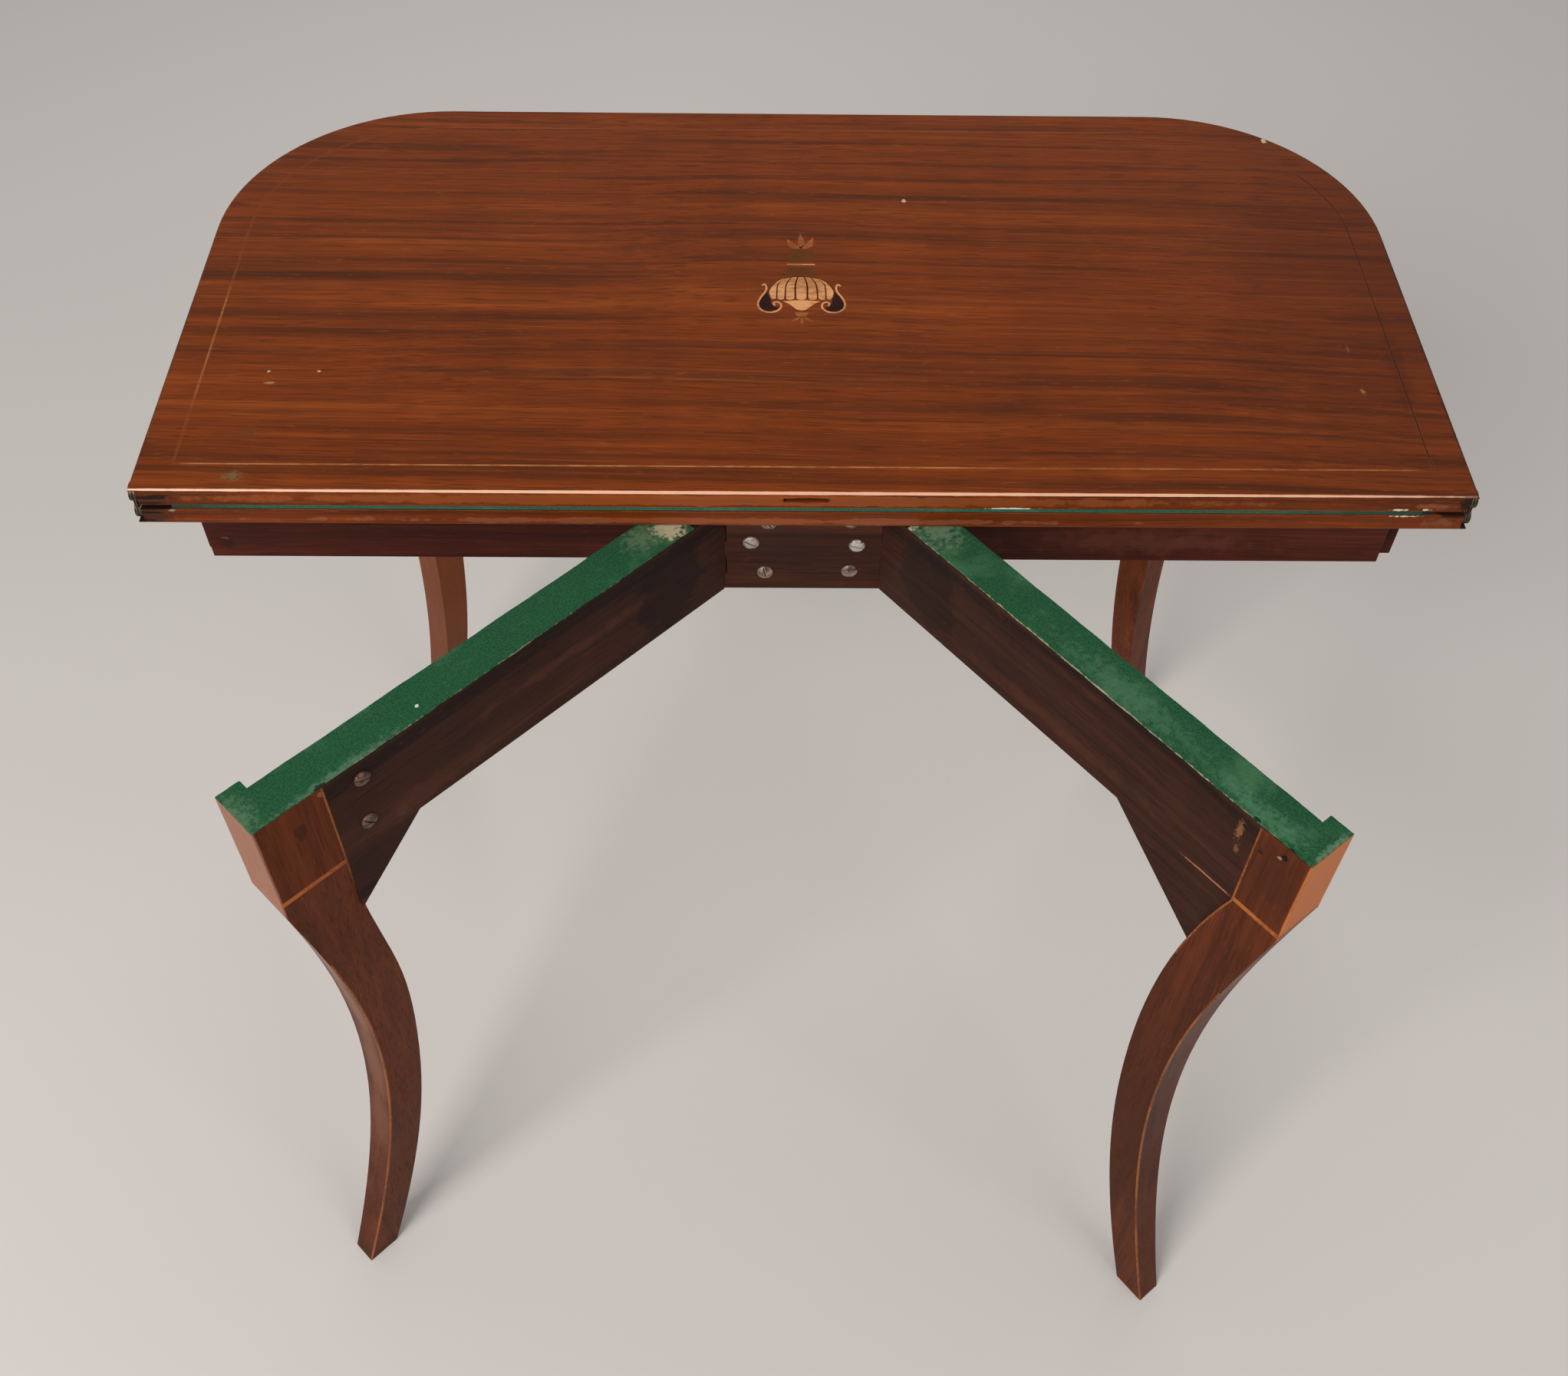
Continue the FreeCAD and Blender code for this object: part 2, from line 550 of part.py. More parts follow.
def pad_room(side, name):
    """Space of a front leg's pad between the curved rails, square to the corner's diagonal."""
    room = doc.addObject("Part::Box", f"{name}_pad_room")
    bind(room, Length="size.leg_width + size.overrun", Width="size.leg_width",
         Height="size.apron_height + 2 * size.overrun")
    start = f"({apron_radius} + size.front_leg_proud - size.leg_width)"
    angle = half_quarter if side > 0 else quarter_turn + half_quarter
    room.Placement = Placement(Vector(), Rotation(Vector(0, 0, 1), angle))
    turn = f"{angle} deg"
    half = "size.leg_width / 2"
    room.setExpression("Placement.Base.x",
                       f"{out(side, corner_x)} + {start} * cos({turn}) + {half} * sin({turn})")
    room.setExpression("Placement.Base.y", f"{corner_y} + {start} * sin({turn}) - {half} * cos({turn})")
    room.setExpression("Placement.Base.z", f"{apron_foot} - size.overrun")
    return room


def make_corner_blocks():
    """Triangular blocks glued in the two back corners of the frame."""
    for side, word in ((-1, "left"), (1, "right")):
        body = doc.addObject("PartDesign::Body", f"{word}_corner_block")
        sketch = new_sketch(body, f"{word}_corner_block_outline", "XY_Plane",
                            f"{apron_top} - size.medial_height")
        x = out(side, f"{apron_half} - size.rail_thickness")
        inner = out(side, f"{apron_half} - size.rail_thickness - size.corner_block")
        corners = [(x, rail_back), (x, f"{rail_back} + size.corner_block"), (inner, rail_back)]
        trace(sketch, corners if side > 0 else corners[::-1])
        pad(body, sketch, "size.medial_height")
        keep(body, f"{word}_corner_block")


# Knuckle joint between the hinge block and each gate, turning on an upright iron pin.
def socket(name, side, outwards, zone, clearance):
    """Space that one finger needs in the other member: cove, square back and bevelled front.

    The cove is a round hole about the pin, wider than the barrel. Behind the pin the shoulder is
    square. In front it follows the line that touches the cove at the stop angle, so that the
    shoulders meet when the gate is swung out to its stop.
    """
    away = side * outwards
    low = f"({gate_foot} + {zone} * {finger} - {clearance})"
    high = f"({gate_foot} + ({zone} + 1) * {finger} + {clearance})"
    if zone == 0:
        low = f"({low} - size.overrun)"
    if zone == int(value("size.knuckle_zones")) - 1:
        high = f"({apron_top} + size.overrun)"
    tall = f"({high} - {low})"
    cove = f"({barrel} + size.knuckle_clearance)"
    over = f"({barrel} + size.overrun)"
    centre = out(side, pin_x)
    hole = rod(f"{name}_cove", cove, tall, centre, pin_y, low)
    ends = (f"({centre} - {over})", f"({centre} + {cove})")
    if away < 0:
        ends = (f"({centre} - {cove})", f"({centre} + {over})")
    square = box(f"{name}_square", ends, (pin_y, f"({pin_y} + {over})"), (low, high))
    bevel = doc.addObject("Part::Wedge", f"{name}_bevel")
    stop = "size.gate_stop"
    front = f"(({cove} - {over} * cos({stop})) / sin({stop}))"
    touch = f"({cove} * sin({stop}))"
    if away < 0:
        bind(bevel, Xmin=f"-{front}", Xmax=over, X2min=f"-{touch}", X2max=over)
    else:
        bind(bevel, Xmin=f"-{over}", Xmax=front, X2min=f"-{over}", X2max=touch)
    bind(bevel, Ymin=f"-{over}", Ymax=f"-{cove} * cos({stop})", Zmin="0", Z2min="0", Zmax=tall, Z2max=tall)
    move(bevel, centre, pin_y, low)
    return fuse(name, hole, square, bevel)


def make_block():
    """Middle block of the back rail, with fingers at both ends and six screws."""
    levels = (gate_foot, apron_top)
    bar = box("hinge_block_bar", (f"-{pin_x}", pin_x), ("size.block_setback", rail_face), levels)
    solids = [bar]
    tools = []
    for side, word in ((-1, "left"), (1, "right")):
        solids.append(rod(f"block_{word}_barrel", barrel, block_height, out(side, pin_x), pin_y, gate_foot))
        tools += [socket(f"block_{word}_socket_{zone}", side, -1, zone, "size.finger_clearance")
                  for zone in gate_zones()]
        tools.append(rod(f"block_{word}_bore", "size.knuckle_pin_radius + size.seat_fit", block_height,
                         out(side, pin_x), pin_y, gate_foot))
    tools += [wood_screw(f"block_screw_hole_{index}", x, block_screw_y, z, "Y", "size.block_screw_length",
                         "size.seat_fit", ("size.screw_recess + size.overrun", "-Y"))
              for index, (x, z) in enumerate(block_screw_spots())]
    keep(cut("hinge_block", fuse("hinge_block_body", *solids), *tools), "hinge_block")
    screws = [wood_screw(f"block_screw_{index}", x, block_screw_y, z, "Y", "size.block_screw_length")
              for index, (x, z) in enumerate(block_screw_spots())]
    keep(group("block_screws", screws), "block_screws")
    for side, word in ((-1, "left"), (1, "right")):
        pin = rod(f"{word}_knuckle_pin_rod", "size.knuckle_pin_radius", block_height, out(side, pin_x), pin_y,
                  gate_foot)
        keep(group(f"{word}_knuckle_pin", [pin]), f"{word}_knuckle_pin")


def gate_zones():
    return range(1, int(value("size.knuckle_zones")), 2)


def block_zones():
    return range(0, int(value("size.knuckle_zones")), 2)


# Legs: straight pad, then a swept curve that tapers to a square foot.
def leg_profile(pad_width, lean_out, straight):
    """Side view of a leg as a face: x outwards from the pad's outer face, z up from the pad's foot."""
    drop, head = value(pad_foot), value("size.leg_pad_height")
    hollow, kick, width = value("size.leg_hollow"), value("size.leg_kick"), value("size.leg_width")
    outer = [Vector(0, 0, -straight)]
    inner = [Vector(-pad_width, 0, 0)]
    for share, hollowed, kicked, widened in leg_curve_shares:
        level = -straight - (drop - straight) * share
        outer.append(Vector(kick * kicked - hollow * hollowed + lean_out * share, 0, level))
        inner.append(outer[-1] - Vector(width * widened, 0, 0))
    outer.append(Vector(kick + lean_out, 0, -drop))
    inner.append(outer[-1] - Vector(value("size.foot_width"), 0, 0))
    edges = []
    for points in (outer, inner):
        curve = Part.BSplineCurve()
        curve.interpolate(points)
        edges.append(curve.toShape())
    lift = Vector(0, 0, head)
    for start, end in ((outer[-1], inner[-1]), (inner[0], inner[0] + lift),
                       (inner[0] + lift, lift), (lift, outer[0])):
        edges.append(Part.makeLine(start, end))
    return Part.Face(Part.Wire(Part.__sortEdges__(edges)))


def leg_solid(depth, pad_width, lean_out=0, lean_back=0, straight=0):
    """Side view drawn out to the pad's depth, cut to the front view that tapers to the foot."""
    head, drop = value("size.leg_pad_height"), value(pad_foot)
    half, foot, overrun = depth / 2, value("size.foot_depth") / 2, value("size.overrun")
    side_view = leg_profile(pad_width, lean_out, straight)
    side_view.translate(Vector(0, -half - overrun, 0))
    solid = side_view.extrude(Vector(0, depth + 2 * overrun + lean_back, 0))
    wide = solid.BoundBox
    start = wide.XMin - overrun
    outline = [(-half, head), (-half, 0), (lean_back - foot, -drop), (lean_back + foot, -drop), (half, 0),
               (half, head), (-half, head)]
    front_view = Part.Face(Part.makePolygon([Vector(start, across, level) for across, level in outline]))
    return solid.common(front_view.extrude(Vector(wide.XLength + 2 * overrun, 0, 0)))


def leg_feature(name, shape):
    item = doc.addObject("Part::Feature", name)
    item.Shape = shape
    return item


def band_shape(depth, width):
    """Light band round the outer, front and rear faces at the foot of the pad."""
    head = value("size.band_height")
    inset, overrun = value("size.band_depth"), value("size.overrun")
    ring = Part.makeBox(width, depth, head, Vector(-width, -depth / 2, 0))
    core = Part.makeBox(width - inset + overrun, depth - 2 * inset, head,
                        Vector(-width - overrun, inset - depth / 2, 0))
    return ring.cut(core)


def make_front_legs():
    """Legs of the frame, set square to the diagonal in the middle of each rounded corner."""
    width = value("size.leg_width")
    radius = value(apron_radius) + value("size.front_leg_proud")
    head = value(apron_top) - value(gate_top)
    for side, word in ((-1, "left"), (1, "right")):
        spin = Rotation(Vector(0, 0, 1), half_quarter if side > 0 else quarter_turn + half_quarter)
        centre = Vector(side * value(corner_x), value(corner_y), value(pad_foot))
        place = Placement(centre + spin.multVec(Vector(radius, 0, 0)), spin)
        cap = Part.makeBox(width, width, head, Vector(-width, -width / 2, value("size.leg_pad_height")))
        solid = leg_solid(width, width).fuse(cap).removeSplitter()
        band = band_shape(width, width)
        for shape, label in ((solid.cut(band), f"{word}_front_leg"), (band, f"{word}_front_leg_band")):
            shape.Placement = place.multiply(shape.Placement)
            keep(group(label, [leg_feature(f"{label}_shape", shape)]), label)


def on_side(side, shape):
    """Shape drawn for the right, or its mirror image for the left."""
    return shape if side > 0 else shape.mirror(Vector(), Vector(1, 0, 0))


def make_gate(side, word):
    """Gate rail with fingers, leg with a lip, bracket, baize strip and band, drawn closed."""
    near, far = pin_x, f"({pin_x} + {reaches[word]})"
    leg_face = f"({far} - size.{word}_pad_width)"
    face, rear = "size.block_setback", "(size.block_setback + size.gate_thickness)"
    lip_rear = f"({rear} + size.leg_lip)"
    centre = out(side, pin_x)
    depth, width = value(leg_depth), value(f"size.{word}_pad_width")
    shape_words = ("left_lean_out", "left_lean_back", "left_leg_straight") if side < 0 else ()
    lean = [value(f"size.{length}") for length in shape_words]
    place = Placement(Vector(side * value(far), value(face) + depth / 2, value(pad_foot)), Rotation())
    tenon = box(f"{word}_tenon", span(side, leg_face, f"({leg_face} + size.tenon_length)"),
                (f"({pin_y} - size.tenon_thickness / 2)", f"({pin_y} + size.tenon_thickness / 2)"),
                (f"({gate_foot} + size.tenon_shoulder)", f"({gate_top} - size.tenon_shoulder)"))
    rebate = box(f"{word}_leg_rebate",
                 span(side, f"({leg_face} - size.overrun)", f"({far} - size.leg_lip_length)"),
                 (rear, f"({lip_rear} + size.overrun)"),
                 (f"({apron_foot} - size.finger_clearance - size.overrun)", f"({gate_top} + size.overrun)"))
    band = on_side(side, band_shape(depth, width))
    band.Placement = place.multiply(band.Placement)
    band_stock = leg_feature(f"{word}_gate_band_stock", band)
    band_item = cut(f"{word}_gate_leg_band", band_stock, rebate)
    leg = on_side(side, leg_solid(depth, width, *lean))
    leg.Placement = place.multiply(leg.Placement)
    stock = leg_feature(f"{word}_gate_leg_stock", leg)
    leg_item = cut(f"{word}_gate_leg", stock, tenon, rebate, band_stock)

    lap_x = span(side, f"({leg_face} - size.lap_length)", leg_face)
    lap_y = (f"({face} + {lap_depth_share} * size.gate_thickness)", rear)
    lap = box(f"{word}_lap", lap_x, lap_y, (gate_foot, f"({gate_foot} + size.lap_height)"))
    rail_stock = fuse(f"{word}_gate_rail_stock",
                      box(f"{word}_gate_rail_bar", span(side, near, leg_face), (face, rear), (gate_foot, gate_top)),
                      rod(f"{word}_gate_barrel", barrel, "size.gate_height", centre, pin_y, gate_foot),
                      tenon)
    tools = [socket(f"{word}_gate_socket_{zone}", side, 1, zone, "size.finger_clearance")
             for zone in block_zones()]
    tools.append(rod(f"{word}_gate_bore", "size.knuckle_pin_radius + size.pin_fit", "size.gate_height",
                     centre, pin_y, gate_foot))
    if side < 0:
        tools.append(lap)
        tools += lap_screws(f"{word}_rail_screw_hole", leg_face, "size.seat_fit", True)
    rail = cut(f"{word}_gate_rail", rail_stock, *tools)

    body = doc.addObject("PartDesign::Body", f"{word}_bracket_stock")
    sketch = new_sketch(body, f"{word}_bracket_outline", "XZ_Plane",
                        f"-({face})" if side < 0 else f"-({face} + size.right_bracket_recess)")
    corners = [(out(side, f"{leg_face} - size.{word}_bracket_reach"), gate_foot),
               (out(side, leg_face), f"{gate_foot} - size.{word}_bracket_drop"),
               (out(side, leg_face), gate_foot)]
    trace(sketch, corners if side > 0 else corners[::-1])
    pad(body, sketch, "size.bracket_thickness", backwards=True)
    bracket = cut(f"{word}_bracket_fitted", body, stock)
    if side < 0:
        bracket = cut(f"{word}_bracket_lapped", fuse(f"{word}_bracket_whole", bracket, lap),
                      *lap_screws(f"{word}_bracket_screw_hole", leg_face, "size.seat_fit", True))

    level = (gate_top, gate_baize_top)
    strip = box(f"{word}_baize_strip", span(side, f"({near} + size.gate_baize_start)", far), (face, rear), level)
    flap = box(f"{word}_baize_flap", span(side, f"({far} - size.leg_lip_length)", far), (rear, lip_rear), level)

    keep(rail, f"{word}_gate_rail", side)
    keep(leg_item, f"{word}_gate_leg", side)
    keep(band_item, f"{word}_gate_leg_band", side)
    keep(bracket, f"{word}_gate_bracket", side)
    keep(fuse(f"{word}_gate_baize", strip, flap), f"{word}_gate_baize", side)
    if side < 0:
        keep(group("left_bracket_screws", lap_screws("left_bracket_screw", leg_face, "0", False)),
             "left_bracket_screws", side)


def lap_screws(name, leg_face, fit, hollow):
    """Two screws through the face of the left gate rail into the lapped bracket."""
    screws = []
    recess = ("size.screw_recess + size.overrun", "-Y") if hollow else None
    for index, (across, down) in enumerate(lap_screw_shares):
        x = out(-1, f"{leg_face} - {across} * size.lap_length")
        z = f"({gate_top} - {down} * size.gate_height)"
        screws.append(wood_screw(f"{name}_{index}", x, block_screw_y, z, "Y", "size.bracket_screw_length",
                                 fit, recess))
    return screws


def make_top():
    """Two leaves, their baize, the string line and the hinges."""
    string = doc.addObject("PartDesign::Body", "string_line")
    sketch = new_sketch(string, "string_outline", "XY_Plane", "size.table_height - size.string_depth")
    trace(sketch, *top_outline("size.string_inset", "size.string_inset"))
    inner = "(size.string_inset + size.string_width)"
    trace(sketch, *top_outline(inner, inner))
    pad(string, sketch, "size.string_depth")

    upper = plate("upper_leaf_board", upper_leaf_foot, "size.leaf_thickness", "0", "0", "size.table_height")
    slot_foot = f"({upper_leaf_foot} + (size.leaf_thickness - size.slot_height) / 2)"
    slot = box("alignment_slot", ("-size.slot_width / 2", "size.slot_width / 2"),
               ("-size.overrun", "size.slot_depth"), (slot_foot, f"({slot_foot} + size.slot_height)"))
    recesses = [tool for side in (-1, 1) for tool in hinge_recess(side, 1)]
    keep(cut("upper_leaf", upper, string, slot, *recesses), "upper_leaf")
    keep(group("string_inlay", [string]), "string_inlay")

    lower = plate("lower_leaf_board", apron_top, "size.leaf_thickness", "0", "0", apron_top)
    recesses = [tool for side in (-1, 1) for tool in hinge_recess(side, -1)]
    holes = [wood_screw(f"lower_leaf_hole_{index}", x, y, top_screw_head, "Z", "size.top_screw_length",
                        "size.seat_fit") for index, (x, y) in enumerate(top_screw_spots())]
    keep(cut("lower_leaf", lower, *recesses, *holes), "lower_leaf")
    screws = [wood_screw(f"top_screw_{index}", x, y, top_screw_head, "Z", "size.top_screw_length")
              for index, (x, y) in enumerate(top_screw_spots())]
    keep(group("top_screws", screws), "top_screws")

    for name, foot in (("lower_baize", lower_leaf_top), ("upper_baize", joint_level)):
        keep(plate(name, foot, "size.baize_thickness", "size.baize_margin", "size.baize_back_margin"), name)
    for side in (-1, 1):
        hinge_link(side)
        for level in (-1, 1):
            hinge_plate(side, level)
            hinge_pin(side, level)
    for level in (-1, 1):
        hinge_screws(level)


make_top()
make_rails()
make_corner_blocks()
make_block()
make_front_legs()
for gate_side, gate_word in ((-1, "left"), (1, "right")):
    make_gate(gate_side, gate_word)
doc.recompute()

failed = [item.Name for item in doc.Objects if "Invalid" in item.State or "Error" in item.State]
for piece in pieces:
    if piece.Shape.isNull() or not piece.Shape.isValid() or not piece.Shape.Solids:
        failed.append(piece.Label)
if failed:
    raise SystemExit(f"not built: {', '.join(failed)}")
for piece in pieces:
    piece.Shape.exportStep(f"parts/{piece.Label}.step")
    print(piece.Label, len(piece.Shape.Solids), "solids", round(piece.Shape.Volume), "cubic mm")

metre = 1000
shift = value(origin_y)
for label, x, y, z in (("lower hinge pins", "0", pivot_y, f"{joint_level} - size.pivot_drop"),
                       ("upper hinge pins", "0", pivot_y, f"{joint_level} + size.pivot_drop"),
                       ("left knuckle pin", f"-{pin_x}", pin_y, gate_foot),
                       ("right knuckle pin", pin_x, pin_y, gate_foot)):
    print(label, [round(number / metre, 6) for number in (value(x), value(y) - shift, value(z))])
bounds = Part.makeCompound([piece.Shape for piece in pieces]).optimalBoundingBox(True, False)
print("box", [round(number, 3) for number in (bounds.XMin, bounds.YMin, bounds.ZMin,
                                              bounds.XMax, bounds.YMax, bounds.ZMax)])
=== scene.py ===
import math

import bmesh
import bpy
import numpy as np
from mathutils import Euler, Matrix, Vector


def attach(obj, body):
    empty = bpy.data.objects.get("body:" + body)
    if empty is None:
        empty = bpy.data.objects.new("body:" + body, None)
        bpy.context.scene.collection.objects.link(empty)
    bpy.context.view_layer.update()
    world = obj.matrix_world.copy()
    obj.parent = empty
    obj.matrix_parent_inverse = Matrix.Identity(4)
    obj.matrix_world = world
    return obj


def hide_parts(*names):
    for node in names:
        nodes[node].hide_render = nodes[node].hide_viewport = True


# Games table with a baize-lined folding top and two swing-out legs. Metres, +Z up.
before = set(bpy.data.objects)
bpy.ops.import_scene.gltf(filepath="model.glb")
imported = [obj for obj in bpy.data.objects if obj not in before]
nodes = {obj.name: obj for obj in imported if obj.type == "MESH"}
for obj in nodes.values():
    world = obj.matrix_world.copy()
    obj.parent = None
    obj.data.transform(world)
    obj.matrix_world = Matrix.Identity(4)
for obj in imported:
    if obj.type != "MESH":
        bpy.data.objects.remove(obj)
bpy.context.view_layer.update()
scene = bpy.context.scene
print("frame loaded:", len(nodes), "nodes")

mm = 0.001
origin = (0, 0, 0)

# Lines of the table that the pieces below follow, in mm before the shift along y.
table = {
    "halfWidth": 457, "depth": 457, "cornerRadius": 165, "height": 737, "leaf": 14, "baize": 2,
    "shiftY": 83.011, "pinX": 63, "pinY": 34, "blockFace": 18.5, "gateThickness": 31, "gateTop": 703,
    "padFoot": 621, "lip": 8, "leftReach": 394, "rightReach": 387,
}
pinX, pinY, shiftY = (table[key] for key in ("pinX", "pinY", "shiftY"))
seam = table["height"] - table["leaf"] - table["baize"]
gateTurns = {-1: (0, 0, -45), 1: (0, 0, 51)}  # degrees, from the opened gate back to the closed one


# Linear colour of a hex code, by the usual display curve.
def hexColour(text):
    parts = np.array([int(text[i:i + 2], 16) for i in (1, 3, 5)]) / 255
    linear = np.where(parts <= 0.04045, parts / 12.92, ((parts + 0.055) / 1.055) ** 2.4)
    return (*[float(part) for part in linear], 1.0)


# Link a socket, or set it to a value or a hex code's colour.
def feed(socket, source):
    if isinstance(source, bpy.types.NodeSocket):
        socket.id_data.links.new(source, socket)
    else:
        socket.default_value = hexColour(source) if isinstance(source, str) else source


# Feed a node's inputs, given in order or by name.
def feedAll(node, sources):
    for label, source in sources.items() if isinstance(sources, dict) else enumerate(sources):
        feed(node.inputs[label], source)


# New node, in the tree that its sources come from where none is given.
def addNode(kind, sources=(), tree=None, **settings):
    given = sources.values() if isinstance(sources, dict) else sources
    tree = tree or next(source.id_data for source in given if isinstance(source, bpy.types.NodeSocket))
    node = tree.nodes.new(kind)
    for key, value in settings.items():
        setattr(node, key, value)
    feedAll(node, sources)
    return node


def sums(operation, *sources, clamp=False):
    return addNode("ShaderNodeMath", sources, operation=operation, use_clamp=clamp).outputs[0]


def times(first, second):
    return sums("MULTIPLY", first, second)


# A value's swing about one half, times an amount, added to a base.
def swung(value, amount, base, clamp=False):
    return sums("MULTIPLY_ADD", sums("SUBTRACT", value, 0.5), amount, base, clamp=clamp)


def vectorSum(operation, *sources, output=0):
    return addNode("ShaderNodeVectorMath", sources, operation=operation).outputs[output]


# Camera at the photograph's viewpoint: millimetres and degrees
cameraView = {"place": (-27.8, -804.4, 1525.7), "pitchDown": 51.126, "yaw": -1.073, "roll": 1.074,
              "lens": 38.098, "sensor": 36.0, "clip": (0.05, 50)}


def makeCamera(view):
    data = bpy.data.cameras.new("photoCamera")
    data.lens, data.sensor_width, data.sensor_fit = view["lens"], view["sensor"], "HORIZONTAL"
    data.clip_start, data.clip_end = view["clip"]
    camera = bpy.data.objects.new("photoCamera", data)
    x, y, z = view["place"]
    pitch, yaw, roll = (math.radians(view[key]) for key in ("pitchDown", "yaw", "roll"))
    aimed = Euler((math.pi / 2 - pitch, 0, yaw)).to_matrix().to_4x4() @ Matrix.Rotation(roll, 4, "Z")
    camera.matrix_world = Matrix.Translation((x * mm, (y - shiftY) * mm, z * mm)) @ aimed
    scene.collection.objects.link(camera)
    scene.camera = camera


makeCamera(cameraView)

# A lamp has its place, target and size in metres, and its power.
studio = {
    "floorColour": "#CFC8C1", "floorReach": 6.0, "floorRough": 0.9, "floorShine": 0.2,
    "worldColour": (0.95, 0.97, 1.0, 1), "worldStrength": 0.4,
    "lamps": {"keySoftbox": ((-1.5, -2.2, 2.5), (0, 0, 0.5), (1.4, 1.4), 82),
              "fillSoftbox": ((1.7, -2.0, 2.4), (0, 0, 0.5), (1.4, 1.4), 18),
              "backSoftbox": ((0.2, 1.9, 2.3), (0, 0, 0.6), (2.0, 1.0), 16)},
}


def addLamp(name, place, target, size, power):
    data = bpy.data.lights.new(name, "AREA")
    data.shape, data.size, data.size_y, data.energy = "RECTANGLE", size[0], size[1], power
    lamp = bpy.data.objects.new(name, data)
    lamp.location = place
    lamp.rotation_euler = (Vector(target) - Vector(place)).to_track_quat("-Z", "Y").to_euler()
    lamp.visible_glossy = name != "backSoftbox"
    scene.collection.objects.link(lamp)


def addFloor(plan):
    mesh = bpy.data.meshes.new("studioFloor")
    reach = plan["floorReach"]
    mesh.from_pydata([(-reach, -reach, 0), (reach, -reach, 0), (reach, reach, 0), (-reach, reach, 0)],
                     [], [(0, 1, 2, 3)])
    floor = bpy.data.objects.new("studioFloor", mesh)
    scene.collection.objects.link(floor)
    paper = bpy.data.materials.new("floorPaper")
    paper.use_nodes = True
    feedAll(paper.node_tree.nodes["Principled BSDF"], {
        "Base Color": plan["floorColour"], "Roughness": plan["floorRough"],
        "Specular IOR Level": plan["floorShine"]})
    mesh.materials.append(paper)


# World light, which camera, glossy and transmission rays see in the floor's own colour.
def addWorld(plan):
    world = bpy.data.worlds.new("softRoom")
    scene.world = world
    world.use_nodes = True
    tree = world.node_tree
    room = tree.nodes["Background"]
    feedAll(room, {"Color": plan["worldColour"], "Strength": plan["worldStrength"]})
    seen = addNode("ShaderNodeBackground", {"Color": plan["floorColour"], "Strength": 1.0}, tree)
    rays = addNode("ShaderNodeLightPath", tree=tree).outputs
    direct = sums("MAXIMUM", rays["Is Camera Ray"], rays["Is Glossy Ray"])
    direct = sums("MAXIMUM", direct, rays["Is Transmission Ray"])
    mixed = addNode("ShaderNodeMixShader", (direct, room.outputs[0], seen.outputs[0]))
    feed(tree.nodes["World Output"].inputs["Surface"], mixed.outputs[0])


scene.view_settings.view_transform = "Standard"
addFloor(studio)
addWorld(studio)
for lampName, lampPlan in studio["lamps"].items():
    addLamp(lampName, *lampPlan)
print("camera and studio ready")


def noise(vector, scale, detail, rough=0.5, warp=0.0):
    return addNode("ShaderNodeTexNoise", {"Vector": vector, "Scale": scale, "Detail": detail,
                                          "Roughness": rough, "Distortion": warp}).outputs["Fac"]


# Noise on coordinates stretched by a factor along each axis.
def stretched(vector, factors, detail, rough=0.5, warp=0.0):
    return noise(vectorSum("MULTIPLY", vector, factors), 1.0, detail, rough, warp)


# Smooth step of a value from 0 at the first level to 1 at the second.
def ranged(value, low, high):
    return addNode("ShaderNodeMapRange", (value, low, high), interpolation_type="SMOOTHSTEP").outputs[0]


def blended(share, first, second):
    return addNode("ShaderNodeMix", {"Factor": share, 6: first, 7: second}, data_type="RGBA").outputs[2]


def brightened(colour, tone):
    return addNode("ShaderNodeVectorMath", {0: colour, "Scale": tone}, operation="SCALE").outputs[0]


# New node group. Each socket's usual value gives its kind: a hex code, a vector or a number.
def startGroup(name, inputs, outputs):
    tree = bpy.data.node_groups.new(name, "ShaderNodeTree")
    kinds = {str: "Color", tuple: "Vector", float: "Float"}
    for way, rows in (("INPUT", inputs), ("OUTPUT", outputs)):
        for label, value in rows.items():
            kind = f"NodeSocket{kinds[type(value)]}"
            socket = tree.interface.new_socket(label, in_out=way, socket_type=kind)
            socket.default_value = hexColour(value) if isinstance(value, str) else value
    return tree, tree.nodes.new("NodeGroupInput").outputs, tree.nodes.new("NodeGroupOutput").inputs


# Noises have stretch along and across the fibres, detail and roughness. An effect comes in
# between two levels, at a strength. Tones are what the fine noises add to the colour.
grainPlan = {
    "bend": (1.3, 3.0, 3.0), "bendHeight": 0.05, "streakStretch": 1.2,
    "noises": {"fine": (5, 230, 3, 0.6), "hair": (9, 760, 1, 0.5), "pore": (34, 1150, 0, 0.5),
               "fleck": (85, 560, 1, 0.5), "ribbon": (26, 9, 1, 0.5)},
    "middleStreak": (0.28, 0.5), "lightStreak": (0.5, 0.74), "pit": (0.40, 0.30),
    "darkLine": (0.54, 0.64, 0.85), "lightLine": (0.42, 0.30, 0.35), "lightFleck": (0.64, 0.74, 0.55),
    "tones": {"fine": 0.95, "hair": 0.55, "ribbon": 0.35},
    "fineRise": 0.5, "hairRise": 0.3, "gloss": 0.12,
}


